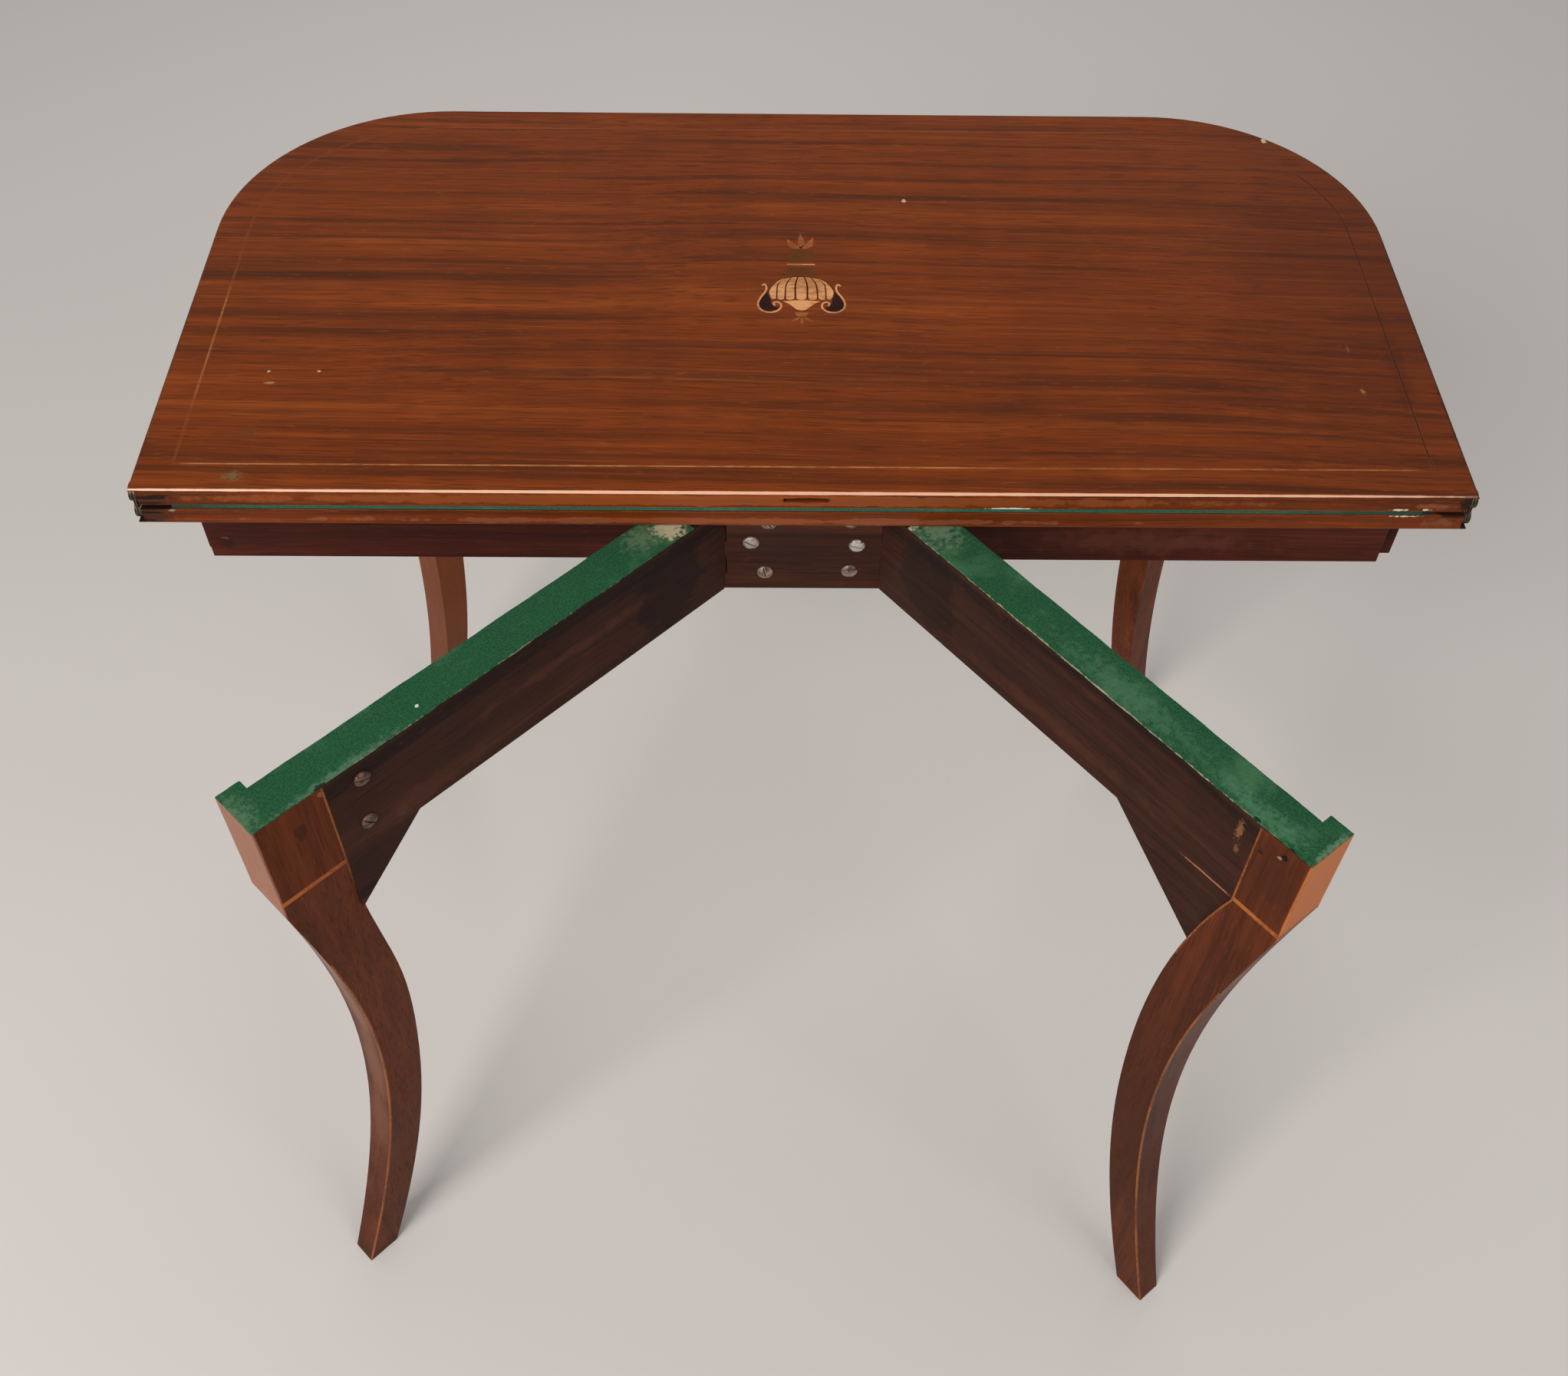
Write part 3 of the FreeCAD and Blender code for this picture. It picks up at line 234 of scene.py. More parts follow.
# Straight-grained wood along x: broad streaks, fine fibres and short dark pores.
def makeWoodGrain(plan):
    tree, given, made = startGroup("woodGrain", {
        "Vector": origin, "Dark": "#3F1910", "Middle": "#7C3F27", "Light": "#95552F", "Streaks": 14.0,
        "Contrast": 1.0, "Pores": 0.6}, {"Color": "#7C3F27", "Height": 0.0, "Gloss": 0.0})
    dark, middle, light, contrast = (given[label] for label in ("Dark", "Middle", "Light", "Contrast"))
    bend = stretched(given["Vector"], plan["bend"], 2)
    lift = times(sums("SUBTRACT", bend, 0.5), plan["bendHeight"])
    lifts = addNode("ShaderNodeCombineXYZ", {1: lift, 2: lift}).outputs[0]
    waved = vectorSum("ADD", given["Vector"], lifts)
    stretch = addNode("ShaderNodeCombineXYZ", (plan["streakStretch"], given["Streaks"], given["Streaks"]))
    streaks = vectorSum("MULTIPLY", waved, stretch.outputs[0])
    broad = noise(streaks, 1.0, 4, 0.62, 0.35)
    thin = stretched(streaks, (0.5, 1.5, 1.5), 3, 0.55, 0.2)
    parts = {name: stretched(waved, (along, across, across), detail, rough)
             for name, (along, across, detail, rough) in plan["noises"].items()}
    base = blended(sums("MULTIPLY_ADD", ranged(broad, *plan["middleStreak"]), contrast,
                        sums("SUBTRACT", 1.0, contrast)), dark, middle)
    base = blended(ranged(broad, *plan["lightStreak"]), base, light)
    start, end, strength = plan["darkLine"]
    lines = times(ranged(thin, start, end), contrast)
    base = blended(times(lines, strength), base, dark)
    for source, (start, end, strength) in ((thin, plan["lightLine"]), (parts["fleck"], plan["lightFleck"])):
        base = blended(times(ranged(source, start, end), strength), base, light)
    tone = 1.0
    for name, amount in plan["tones"].items():
        tone = swung(parts[name], amount, tone)
    pits = times(ranged(parts["pore"], *plan["pit"]), given["Pores"])
    rise = sums("MULTIPLY_ADD", parts["fine"], plan["fineRise"], times(parts["hair"], plan["hairRise"]))
    feed(made["Color"], blended(pits, brightened(base, tone), dark))
    feed(made["Height"], sums("SUBTRACT", rise, pits))
    feed(made["Gloss"], swung(parts["fine"], plan["gloss"], times(pits, plan["gloss"])))
    return tree


# Noises have scale (left out where stretched), detail, roughness and warp; a pair is two levels.
edgeWearAndHighlightPlan = {"samples": 4, "edge": (0.97, 0.80), "patchNoise": (60.0, 3, 0.6), "patch": (0.42, 0.62)}


# Mask of rubbed arrises, which also lays painted edge highlights: how far a rounded normal leaves the face's
# own, broken up by noise.
def makeEdgeWearAndHighlight(plan):
    tree, given, made = startGroup("edgeWearAndHighlight", {"Vector": origin, "Width": 0.0012, "Patchy": 0.5},
                                   {"Mask": 0.0})
    rounded = addNode("ShaderNodeBevel", {"Radius": given["Width"]}, samples=plan["samples"]).outputs[0]
    flat = addNode("ShaderNodeNewGeometry", tree=tree).outputs["Normal"]
    edge = ranged(vectorSum("DOT_PRODUCT", rounded, flat, output="Value"), *plan["edge"])
    patch = ranged(noise(given["Vector"], *plan["patchNoise"]), *plan["patch"])
    kept = sums("ADD", times(patch, given["Patchy"]), sums("SUBTRACT", 1.0, given["Patchy"]))
    feed(made["Mask"], sums("MULTIPLY", edge, kept, clamp=True))
    return tree


# Soft ellipsoid mask about a centre, with a ragged rim.
def makeMarkAndPaintedLightSpot():
    tree, given, made = startGroup("markAndPaintedLightSpot", {
        "Vector": origin, "Centre": origin, "Reach": (0.01, 0.01, 0.01), "Ragged": 0.5, "Scale": 150.0,
        "Soft": 0.25}, {"Mask": 0.0})
    away = vectorSum("SUBTRACT", given["Vector"], given["Centre"])
    far = vectorSum("LENGTH", vectorSum("DIVIDE", away, given["Reach"]), output="Value")
    rough = noise(given["Vector"], given["Scale"], 4, 0.65)
    swing = times(sums("SUBTRACT", rough, 0.5), times(given["Ragged"], 3.0))
    feed(made["Mask"], ranged(sums("ADD", far, swing), 1.0, sums("SUBTRACT", 1.0, given["Soft"])))
    return tree


feltPlan = {
    "clumpNoise": (900.0, 3, 0.7, 0.6), "clump": (0.35, 0.65), "clumpRise": 0.7,
    "hairStretches": ((900, 2600, 1500), (2600, 900, 1500)), "hairNoise": (2, 0.6), "hairTone": 1.1,
    "hairRise": 0.5, "baldNoise": (26.0, 4, 0.6, 0.4), "bald": (0.52, 0.74),
}


# Felted wool: matted clumps, crossed fibres and rubbed bald places.
def makeFeltNap(plan):
    tree, given, made = startGroup("feltNap", {
        "Vector": origin, "Deep": "#1A4027", "Cloth": "#27613F", "Faded": "#597C61", "Wear": 0.4},
        {"Color": "#27613F", "Height": 0.0})
    clumps = noise(given["Vector"], *plan["clumpNoise"])
    hairs = [stretched(given["Vector"], factors, *plan["hairNoise"]) for factors in plan["hairStretches"]]
    nap = times(sums("ADD", *hairs), 0.5)
    patches = noise(given["Vector"], *plan["baldNoise"])
    colour = blended(ranged(clumps, *plan["clump"]), given["Deep"], given["Cloth"])
    rubbed = times(ranged(patches, *plan["bald"]), given["Wear"])
    colour = blended(rubbed, colour, given["Faded"])
    feed(made["Color"], brightened(colour, swung(nap, plan["hairTone"], 1.0)))
    feed(made["Height"], sums("MULTIPLY_ADD", clumps, plan["clumpRise"], times(nap, plan["hairRise"])))
    return tree


woodGrain, edgeWearAndHighlight = makeWoodGrain(grainPlan), makeEdgeWearAndHighlight(edgeWearAndHighlightPlan)
markAndPaintedLightSpot, feltNap = makeMarkAndPaintedLightSpot(), makeFeltNap(feltPlan)


def useGroup(group, vector, **given):
    return addNode("ShaderNodeGroup", {"Vector": vector, **given}, node_tree=group).outputs


def mapped(vector, turn, move=origin):
    turn = [math.radians(angle) for angle in turn]
    return addNode("ShaderNodeMapping", {"Vector": vector, "Rotation": turn, "Location": move}).outputs[0]


# Material with Object coordinates turned onto its piece; gives its shader and vector too.
def startMaterial(name, turn=origin, move=origin):
    material = bpy.data.materials.new(name)
    material.use_nodes = True
    where = addNode("ShaderNodeTexCoord", tree=material.node_tree).outputs["Object"]
    return material, material.node_tree.nodes["Principled BSDF"], mapped(where, turn, move)


def bumped(shader, height, depth, strength=0.5):
    bump = addNode("ShaderNodeBump", {"Distance": depth, "Strength": strength, "Height": height})
    feed(shader.inputs["Normal"], bump.outputs[0])


# Give CAD nodes one material in every slot.
def paint(material, *names):
    for name in names:
        slots = nodes[name].data.materials
        if not slots:
            slots.append(material)
        for index in range(len(slots)):
            slots[index] = material


# Mask of one mark, a worn or stained place, a painted highlight or painted shade; centre and reach in mm.
def spotMask(vector, centre, reach, ragged, scale, soft=0.25):
    return useGroup(markAndPaintedLightSpot, vector, Centre=[v * mm for v in centre], Reach=[v * mm for v in reach],
                    Ragged=ragged, Scale=scale, Soft=soft)["Mask"]


# Colour with worn and stained places, painted highlights and painted shade laid over it, one after another.
def marked(colour, vector, marks):
    for over, x, y, z, reachX, reachY, reachZ, ragged, scale, strength, *soft in marks:
        mask = spotMask(vector, (x, y, z), (reachX, reachY, reachZ), ragged, scale, *soft)
        colour = blended(times(mask, strength), colour, over)
    return colour


# Marks with their centres moved from the closed top's frame to the shifted one.
def spots(rows):
    return [(colour, x, y - shiftY, *rest) for colour, x, y, *rest in rows]


# Woods: dark, middle, light and rubbed tones, streaks, contrast, pores, roughness, shine, bump, wear; the
# rubbed tone on the arrises is worn polish and painted edge highlight at once
woodFinishes = {
    "topVeneer": ("#46200B", "#6E2F0C", "#803C12", "#A8663C", 54, 0.75, 0.6, 0.4, 0.09, 0.0001, 0.6),
    "frameWood": ("#260D08", "#3E170D", "#502114", "#6E402C", 26, 0.8, 0.5, 0.5, 0.09, 0.0002, 0.4),
    "gateWood": ("#1A0F0B", "#341B12", "#472618", "#54362A", 28, 0.9, 0.4, 0.55, 0.08, 0.0003, 0.35),
    "legWood": ("#3C1A09", "#58270F", "#6C3416", "#84502F", 34, 0.6, 0.5, 0.42, 0.06, 0.00015, 0.4),
    "frontLegWood": ("#3E1A08", "#602B0E", "#733A17", "#955F3A", 34, 0.6, 0.5, 0.42, 0.06, 0.00015, 0.4),
    "softWood": ("#8A6338", "#B08450", "#C79C66", "#D8B98A", 30, 1.0, 0.2, 0.7, 0.2, 0.0003, 0.2),
}
polishPlan = {"arris": 0.0011, "patchy": 0.6, "smearScale": 9.0, "smear": 0.22, "rubDull": 0.1}


# Polished wood: grain along the turned x axis, rubbed arrises with painted edge highlights, a worn line with
# a painted highlight and glossy coat, and marks, some of them painted light and shade.
def makeWood(finish, name, turn=origin, move=origin, grainTurn=origin, marks=(), line=None):
    dark, middle, light, rubbed, streaks, contrast, pores, rough, shine, bump, wear = woodFinishes[finish]
    material, shader, vector = startMaterial(name, turn, move)
    grain = useGroup(woodGrain, mapped(vector, grainTurn), Dark=dark, Middle=middle, Light=light,
                     Streaks=streaks, Contrast=contrast, Pores=pores)
    # rubbed arrises, lighter both as worn polish and as a painted edge highlight
    rubAndHighlight = useGroup(edgeWearAndHighlight, vector, Width=polishPlan["arris"], Patchy=polishPlan["patchy"])["Mask"]
    colour = blended(times(rubAndHighlight, wear), grain["Color"], rubbed)
    # painted highlight along a worn arris: a pale colour under a glossy coat
    if line:
        arrisHighlightMask = spotMask(vector, line["centre"], line["reach"], line["ragged"], line["scale"])
        colour = blended(times(arrisHighlightMask, line["strength"]), colour, line["colour"])
        feedAll(shader, {"Coat Weight": times(arrisHighlightMask, line["gloss"]), "Coat Roughness": line["rough"]})
    colour = marked(colour, vector, marks)
    smears = noise(vector, polishPlan["smearScale"], 3, 0.6)
    dull = sums("ADD", swung(smears, polishPlan["smear"], rough), grain["Gloss"])
    dull = sums("MULTIPLY_ADD", rubAndHighlight, polishPlan["rubDull"], dull, clamp=True)
    feedAll(shader, {"Base Color": colour, "Roughness": dull, "Specular IOR Level": shine})
    bumped(shader, grain["Height"], bump)
    return material


def turned(x, y, degrees):
    angle = math.radians(degrees)
    return x * math.cos(angle) - y * math.sin(angle), x * math.sin(angle) + y * math.cos(angle)


# Shift that brings a gate's pin to zero after its turn, for Mapping's location.
def gateMove(side):
    x, y = turned(side * pinX * mm, (pinY - shiftY) * mm, gateTurns[side][2])
    return (-x, -y, 0)


# Marks: colour, centre x y z and reach x y z in mm, raggedness, noise scale, strength, softness.
topMarksAndPaintedLight = spots([
    ("#C9A488", -384.6, 121.3, 737, 1.5, 1.7, 2, 0.9, 900, 0.8, 0.6),
    ("#C9A488", -348.5, 121.7, 737, 1.7, 1.3, 2, 0.9, 900, 0.8, 0.6),
    ("#A87858", -381.7, 108.9, 737, 4.5, 1.4, 2, 0.9, 700, 0.7),
    ("#54301A", -389.2, 55.9, 737, 8, 7, 2, 0.5, 260, 0.4),
    ("#66623E", -388.6, 14.1, 737, 10, 6, 2, 0.9, 300, 0.6, 0.9),
    ("#D8C8B4", 387.6, 421.0, 737, 2.2, 3.6, 2, 0.5, 500, 0.9),
    ("#C8AC84", 82.0, 332.9, 737, 2.2, 2.4, 2, 0.5, 500, 0.8),
    ("#3A170B", -447, 322, 737, 11, 6, 2, 0.8, 200, 0.45, 0.7),
    ("#35160B", 431, 130, 737, 9, 60, 2, 0.8, 60, 0.35, 0.8),
    # painted shade: the right part of the top darker, as the light falls from the left
    ("#42190A", 500, 260, 737, 330, 440, 30, 0.15, 8, 0.5, 0.95),
    ("#A05E36", 399.9, 153.7, 737, 1.5, 6, 2, 0.9, 300, 0.3, 0.9),
    ("#B07448", 400.6, 106.4, 737, 2.2, 4, 2, 0.9, 400, 0.55, 0.8),
    ("#4A2614", -447, 0, 728, 26, 2, 7, 0.5, 200, 0.75, 0.6),
    ("#170E0A", -446, 0, 729.4, 21, 1.8, 2.0, 0.4, 300, 0.95, 0.5),
    ("#20120C", -447, 0, 724.6, 19, 1.8, 1.5, 0.4, 300, 0.9, 0.5),
    ("#D8CBB8", 405, 0, 724.2, 7, 1.2, 1.0, 1.1, 500, 0.9, 0.5),
    ("#D8CBB8", 424, 0, 724.4, 4, 1.2, 1.0, 1.1, 500, 0.8, 0.5),
    ("#8A5034", 430, 0, 727.5, 16, 1.2, 3.2, 0.9, 160, 0.6, 0.8),
    ("#DACDB9", 139.7, 0, 723.4, 17, 1.2, 1.0, 0.7, 300, 0.9),
    ("#3A1A10", 78, 0, 734.3, 38, 1.4, 1.1, 0.8, 120, 0.7),
    # painted light: the back edge of the top lighter, where it faces the light
    ("#8E4A24", -60, 0, 729.5, 380, 1.5, 5.5, 0.5, 60, 0.6),
    ("#1C120E", 452, 0, 730, 9, 2.4, 9, 0.7, 200, 0.9, 0.6),
    ("#6E3A24", 456, 0, 737, 14, 3, 2.4, 0.5, 200, 0.8, 0.9),
    ("#130D0B", -437, 0, 731.2, 11, 1.8, 1.2, 0.4, 400, 0.9, 0.5),
    ("#24120C", 0, 0, 730.4, 19, 1.3, 2.8, 0.15, 200, 0.9, 0.3),
    ("#1A100B", -457, 2, 728.5, 5, 6, 7.5, 0.5, 300, 0.9, 0.5),
    ("#1C0D07", 457.5, 150, 737, 3.4, 300, 3.4, 0.3, 60, 0.85, 0.5),
    ("#1C0D07", -457.5, 150, 737, 2.6, 260, 2.6, 0.4, 60, 0.7, 0.5),
    # painted shade inside the mortise at the back edge
    ("#1A0C08", 0, 7, 731, 40, 6.5, 4, 0.1, 100, 0.95),
])
lowerMarksAndPaintedLight = spots([
    ("#B9A98C", -431.5, 0, 717.9, 3.4, 1.4, 1.6, 0.9, 600, 0.6, 0.7),
    ("#3E2014", -447, 0, 712, 24, 1.8, 10, 0.5, 200, 0.85, 0.7),
    # painted shade: the lower leaf's top near black in the gap under the upper leaf at the hinges
    ("#1A0E0A", -446, 8, 719, 22, 16, 1.6, 0.2, 200, 0.97, 0.3),
    ("#2A150C", 446, 8, 719, 16, 16, 1.6, 0.2, 200, 0.95, 0.3),
    ("#120C0A", -451, 0, 715.4, 14, 1.8, 1.5, 0.4, 300, 0.95, 0.5),
    ("#120C0A", -452, 0, 708.2, 12, 1.8, 1.3, 0.4, 300, 0.9, 0.5),
    ("#1A0F0A", -457, 4, 708, 8, 10, 9, 0.5, 300, 0.9, 0.6),
    ("#1A0F0A", 457, 4, 708, 6, 10, 9, 0.5, 300, 0.85, 0.6),
    ("#7C4A34", 437, 0, 712, 16, 1.6, 5, 0.9, 160, 0.55, 0.8),
    ("#CFC4B2", 412, 0, 718.2, 11, 1.2, 0.8, 1.2, 500, 0.8, 0.5),
    ("#1C120E", 455, 0, 713, 4, 1.6, 9, 0.6, 200, 0.85, 0.6),
    ("#1F1611", 446, 0, 717.6, 12, 1.6, 1.2, 0.6, 200, 0.8, 0.6),
    # painted light: the back edge of the lower leaf lighter, where it faces the light
    ("#8E553A", -60, 0, 710, 260, 1.4, 3, 0.9, 40, 0.45),
])
railMarks = spots([
    ("#241009", -424.5, 50, 634.4, 7.5, 1.5, 7.5, 0.6, 300, 0.7, 0.7),
    ("#6E4432", -425, 50, 639, 4, 1.5, 1.6, 0.8, 400, 0.6, 0.7),
    ("#6A3A2A", 250, 50, 640, 120, 1.5, 16, 0.8, 60, 0.35, 0.9),
    ("#24100B", -120, 50, 690, 300, 1.5, 12, 0.8, 60, 0.4, 0.9),
])
leftGateMarks = [
    ("#523527", -298, -15.5, 632.5, 5.5, 1.5, 5.5, 0.5, 300, 0.5),
    ("#523022", -276, -15.5, 634, 62, 1.5, 13, 0.8, 90, 0.4, 0.8),
    ("#5A3626", -150, -15.5, 668, 110, 1.5, 7, 0.9, 60, 0.35, 0.8),
    ("#140C0A", -60, -15.5, 664, 34, 1.5, 44, 0.6, 40, 0.6),
]
rightGateMarks = [
    ("#8A5A3A", 336.3, -15.5, 686.4, 2.6, 1.5, 11, 1.2, 620, 0.75, 0.5),
    ("#7C5034", 338.9, -15.5, 669.1, 1.8, 1.5, 6, 1.2, 620, 0.7, 0.5),
    ("#AE6F4C", 327, -15.5, 622.3, 22, 1.6, 1.6, 0.4, 150, 0.8),
    ("#160D0A", 60, -15.5, 664, 30, 1.5, 44, 0.6, 40, 0.5),
    ("#55301F", 190, -15.5, 640, 120, 1.5, 9, 0.9, 60, 0.3, 0.8),
]
leftLegMarksAndPaintedLight = [
    # painted reflection on the pad's outer face
    ("#9A6A54", -396, 0, 664, 4, 60, 110, 0.1, 60, 0.85),
    ("#2C170E", -416, 36, 6, 34, 26, 15, 0.3, 90, 0.6, 0.9),
    # painted light: the lit outer face of the leg, lighter than its own wood, down to the foot
    ("#96705C", -389, 6, 568, 12, 20, 76, 0.2, 60, 0.8, 0.6),
    ("#926A54", -377, 11, 490, 11, 19, 80, 0.2, 60, 0.8, 0.6),
    ("#86583F", -369, 15, 410, 10, 18, 84, 0.2, 60, 0.75, 0.6),
    ("#7A4C34", -368, 20, 325, 10, 17, 88, 0.2, 60, 0.7, 0.6),
    ("#70432C", -377, 25, 235, 11, 16, 84, 0.2, 60, 0.6, 0.6),
    ("#2C160F", -365.9, -15.5, 677.7, 5, 1.5, 8, 0.8, 200, 0.55),
    ("#94593A", -346, -15.5, 698, 3, 1.5, 3, 0.8, 300, 0.7),
]
rightLegMarksAndPaintedLight = [
    # painted reflection on the pad's outer face
    ("#C06C34", 389, 0, 662, 4, 60, 110, 0.1, 60, 0.95),
    # painted light: the lit outer face of the leg, lighter than its own wood, down to the foot
    ("#7A3A12", 367, 8, 520, 12, 20, 84, 0.2, 60, 0.8, 0.6),
    ("#6E300C", 356, 9, 430, 10, 20, 84, 0.2, 60, 0.8, 0.6),
    ("#6A2C0A", 352, 10, 340, 10, 19, 88, 0.2, 60, 0.8, 0.6),
    ("#602608", 360, 12, 240, 11, 18, 84, 0.2, 60, 0.7, 0.6),
    ("#5A2408", 380, 14, 130, 14, 17, 84, 0.2, 60, 0.7, 0.6),
    # painted highlight on the leg's outer face
    ("#A06038", 369, 4, 520, 5, 12, 34, 0.8, 200, 0.5, 0.7),
    ("#3C1C10", 366, -15.5, 668, 32, 1.5, 50, 0.4, 60, 0.55, 0.8),
    ("#361604", 350, 0, 320, 100, 40, 370, 0.2, 20, 0.55, 0.9),
    ("#24120B", 354, -15.5, 682, 2.2, 1.5, 2.2, 0.4, 500, 0.8),
    ("#120A07", 369.5, -15.5, 693.7, 2.4, 1.5, 3, 0.4, 500, 0.9),
    ("#9A8468", 366.6, -15.5, 690.4, 1.8, 1.5, 1.4, 0.5, 500, 0.8),
]
blockMarks = spots([("#221A1A", 0, 16, 662, 66, 4, 46, 0.2, 30, 0.5, 0.7)])
# painted light: the left front leg lighter, as the light falls from the left
leftFrontLegPaintedLight = spots([("#84492A", -330, 330, 350, 260, 260, 700, 0.1, 10, 0.55, 0.6)])
# painted highlight along the top's worn back arris: a pale colour and a glossy coat
backArrisHighlight = {"centre": (-30, 0.2 - shiftY, 736.8), "reach": (700, 1.6, 1.5), "colour": "#DFAC8C",
             "gloss": 0.7, "strength": 0.88, "rough": 0.3, "ragged": 0.2, "scale": 45.0}

upright = (0, 90, 0)
paint(makeWood("topVeneer", "topVeneer", grainTurn=(0, 0, 1.3), marks=topMarksAndPaintedLight, line=backArrisHighlight), "upper_leaf")
paint(makeWood("topVeneer", "lowerVeneer", marks=lowerMarksAndPaintedLight), "lower_leaf")
paint(makeWood("frameWood", "railWood", marks=railMarks), "back_rail", "front_rail",
      *[f"{side}_{place}_curved_rail" for side in ("left", "right") for place in ("front", "side")])
paint(makeWood("frameWood", "sideRailWood", (0, 0, 90)), "left_side_rail", "right_side_rail")
paint(makeWood("softWood", "crossRailWood", (0, 0, 90)), "medial_rail")
paint(makeWood("softWood", "cornerBlockWood", upright), "left_corner_block", "right_corner_block")
paint(makeWood("gateWood", "hingeBlockWood", marks=blockMarks), "hinge_block")
for word, side, gateMarks, legMarksAndPaintedLight in (("left", -1, leftGateMarks, leftLegMarksAndPaintedLight),
                                        ("right", 1, rightGateMarks, rightLegMarksAndPaintedLight)):
    turn, move = gateTurns[side], gateMove(side)
    paint(makeWood("gateWood", f"{word}GateWood", turn, move, marks=gateMarks), f"{word}_gate_rail",
          f"{word}_gate_bracket")
    paint(makeWood("legWood", f"{word}LegWood", turn, move, upright, legMarksAndPaintedLight), f"{word}_gate_leg")
# the left front leg carries painted light that the right one lacks
paint(makeWood("frontLegWood", "leftFrontLegLitWood", grainTurn=upright, marks=leftFrontLegPaintedLight), "left_front_leg")
paint(makeWood("frontLegWood", "rightFrontLegWood", grainTurn=upright), "right_front_leg")
print("woods painted")

# Metals: dark, middle and bright tones, roughness, metallic share
metalFinishes = {
    # the bright tone of the rubbed brass also stands for painted glints on the hinges
    "tarnishedBrass": ("#150E0A", "#3A2A1A", "#C6B494", 0.45, 0.7),
    "dullIron": ("#15110F", "#3A322C", "#6A625A", 0.55, 0.9),
    "rustySteel": ("#2C1D14", "#6B5040", "#9E8A78", 0.45, 0.5),
    "blockSteel": ("#4A3A30", "#95806F", "#CFC3B6", 0.42, 0.5),
}
metalPlan = {"patchNoise": (260.0, 4, 0.65, 0.3), "patch": (0.38, 0.6), "gritNoise": (1900.0, 2, 0.6),
             "gritRise": 0.4, "arris": 0.0006, "patchy": 0.4, "dull": 0.5, "bump": 0.0001}
# painted highlights on the two middle screws of the block
blockScrewHighlights = spots([("#A8A098", -37.8, 16, 670.1, 5.5, 4, 5.5, 0.9, 420, 0.8),
                         ("#BDB6AE", 37.8, 16, 667.7, 6, 4, 6, 0.8, 420, 0.9)])


# Old metal: dark tarnish in patches, brighter where it is rubbed; the bright edges are also painted glints.
def makeMetal(name, marks=()):
    dark, middle, bright, rough, metal = metalFinishes[name]
    material, shader, vector = startMaterial(name)
    patches = noise(vector, *metalPlan["patchNoise"])
    grit = noise(vector, *metalPlan["gritNoise"])
    rubAndHighlight = useGroup(edgeWearAndHighlight, vector, Width=metalPlan["arris"], Patchy=metalPlan["patchy"])["Mask"]
    colour = blended(ranged(patches, *metalPlan["patch"]), dark, middle)
    colour = marked(blended(rubAndHighlight, colour, bright), vector, marks)
    feedAll(shader, {"Base Color": colour, "Metallic": metal,
                     "Roughness": swung(patches, metalPlan["dull"], rough, clamp=True)})
    bumped(shader, sums("MULTIPLY_ADD", grit, metalPlan["gritRise"], patches), metalPlan["bump"])
    return material


rusty, blockSteel = makeMetal("rustySteel"), makeMetal("blockSteel", blockScrewHighlights)
paint(makeMetal("tarnishedBrass"), "left_hinge_link", "right_hinge_link",
      *[f"{side}_{level}_hinge_{part}" for side in ("left", "right") for level in ("lower", "upper")
        for part in ("plate", "pin")])
paint(makeMetal("dullIron"), "left_knuckle_pin", "right_knuckle_pin")
paint(rusty, "top_screws")

# Inlay woods: dark and light tones, and roughness
inlayFinishes = {
    "stringWood": ("#6C3618", "#955628", 0.45), "bandWood": ("#8A451C", "#A85F2C", 0.45),
    "topString": ("#80451E", "#A9703F", 0.4), "urnHolly": ("#A66C40", "#D09462", 0.45),
    "urnShade": ("#34120A", "#4E200E", 0.45), "urnGreen": ("#572E10", "#613414", 0.45),
    "urnDark": ("#200C08", "#2C120B", 0.45), "urnTan": ("#7E4420", "#96562C", 0.45),
}
inlayPlan = {"fleckStretch": (120, 420, 420), "fleckNoise": (3, 0.6), "toneNoise": (22.0, 2, 0.5),
             "toneSwing": 0.9, "tone": (0.3, 0.68), "dull": 0.3, "shine": 0.08, "bump": 0.00008}
stringMarks = spots([
    ("#6C2E10", 0, 470, 737, 760, 300, 30, 0.2, 12, 0.85, 0.5),
    ("#7A3A18", 320, 22, 737, 260, 12, 30, 0.1, 20, 0.5, 0.9),
    ("#5E280E", 380, 430, 737, 130, 90, 30, 0.1, 20, 0.97, 0.2),
    ("#34160A", 440, 230, 737, 50, 240, 30, 0.1, 20, 0.97, 0.2),
    ("#6C2E10", -410, 400, 737, 95, 218, 30, 0.1, 20, 0.97, 0.2),
    ("#6C2E10", -432, 130, 737, 18, 60, 30, 0.1, 20, 0.5, 0.2),
    ("#70300F", -436, 52, 737, 18, 35, 30, 0.1, 20, 0.98, 0.15),
])


# Thin inlaid veneer with a light fleck, as worn as the polish over it.
def makeInlay(name, marks=()):
    dark, light, rough = inlayFinishes[name]
    material, shader, vector = startMaterial(name)
    fleck = stretched(vector, inlayPlan["fleckStretch"], *inlayPlan["fleckNoise"])
    share = swung(noise(vector, *inlayPlan["toneNoise"]), inlayPlan["toneSwing"], fleck)
    colour = marked(blended(ranged(share, *inlayPlan["tone"]), dark, light), vector, marks)
    feedAll(shader, {"Base Color": colour, "Specular IOR Level": inlayPlan["shine"],
                     "Roughness": swung(fleck, inlayPlan["dull"], rough, clamp=True)})
    bumped(shader, fleck, inlayPlan["bump"])
    return material


inlays = {name: makeInlay(name, stringMarks if name == "topString" else ()) for name in inlayFinishes}
paint(inlays["topString"], "string_inlay")
paint(inlays["bandWood"], *[f"{side}_{leg}_leg_band" for side in ("left", "right")
                            for leg in ("front", "gate")])
print("metals and inlays painted")


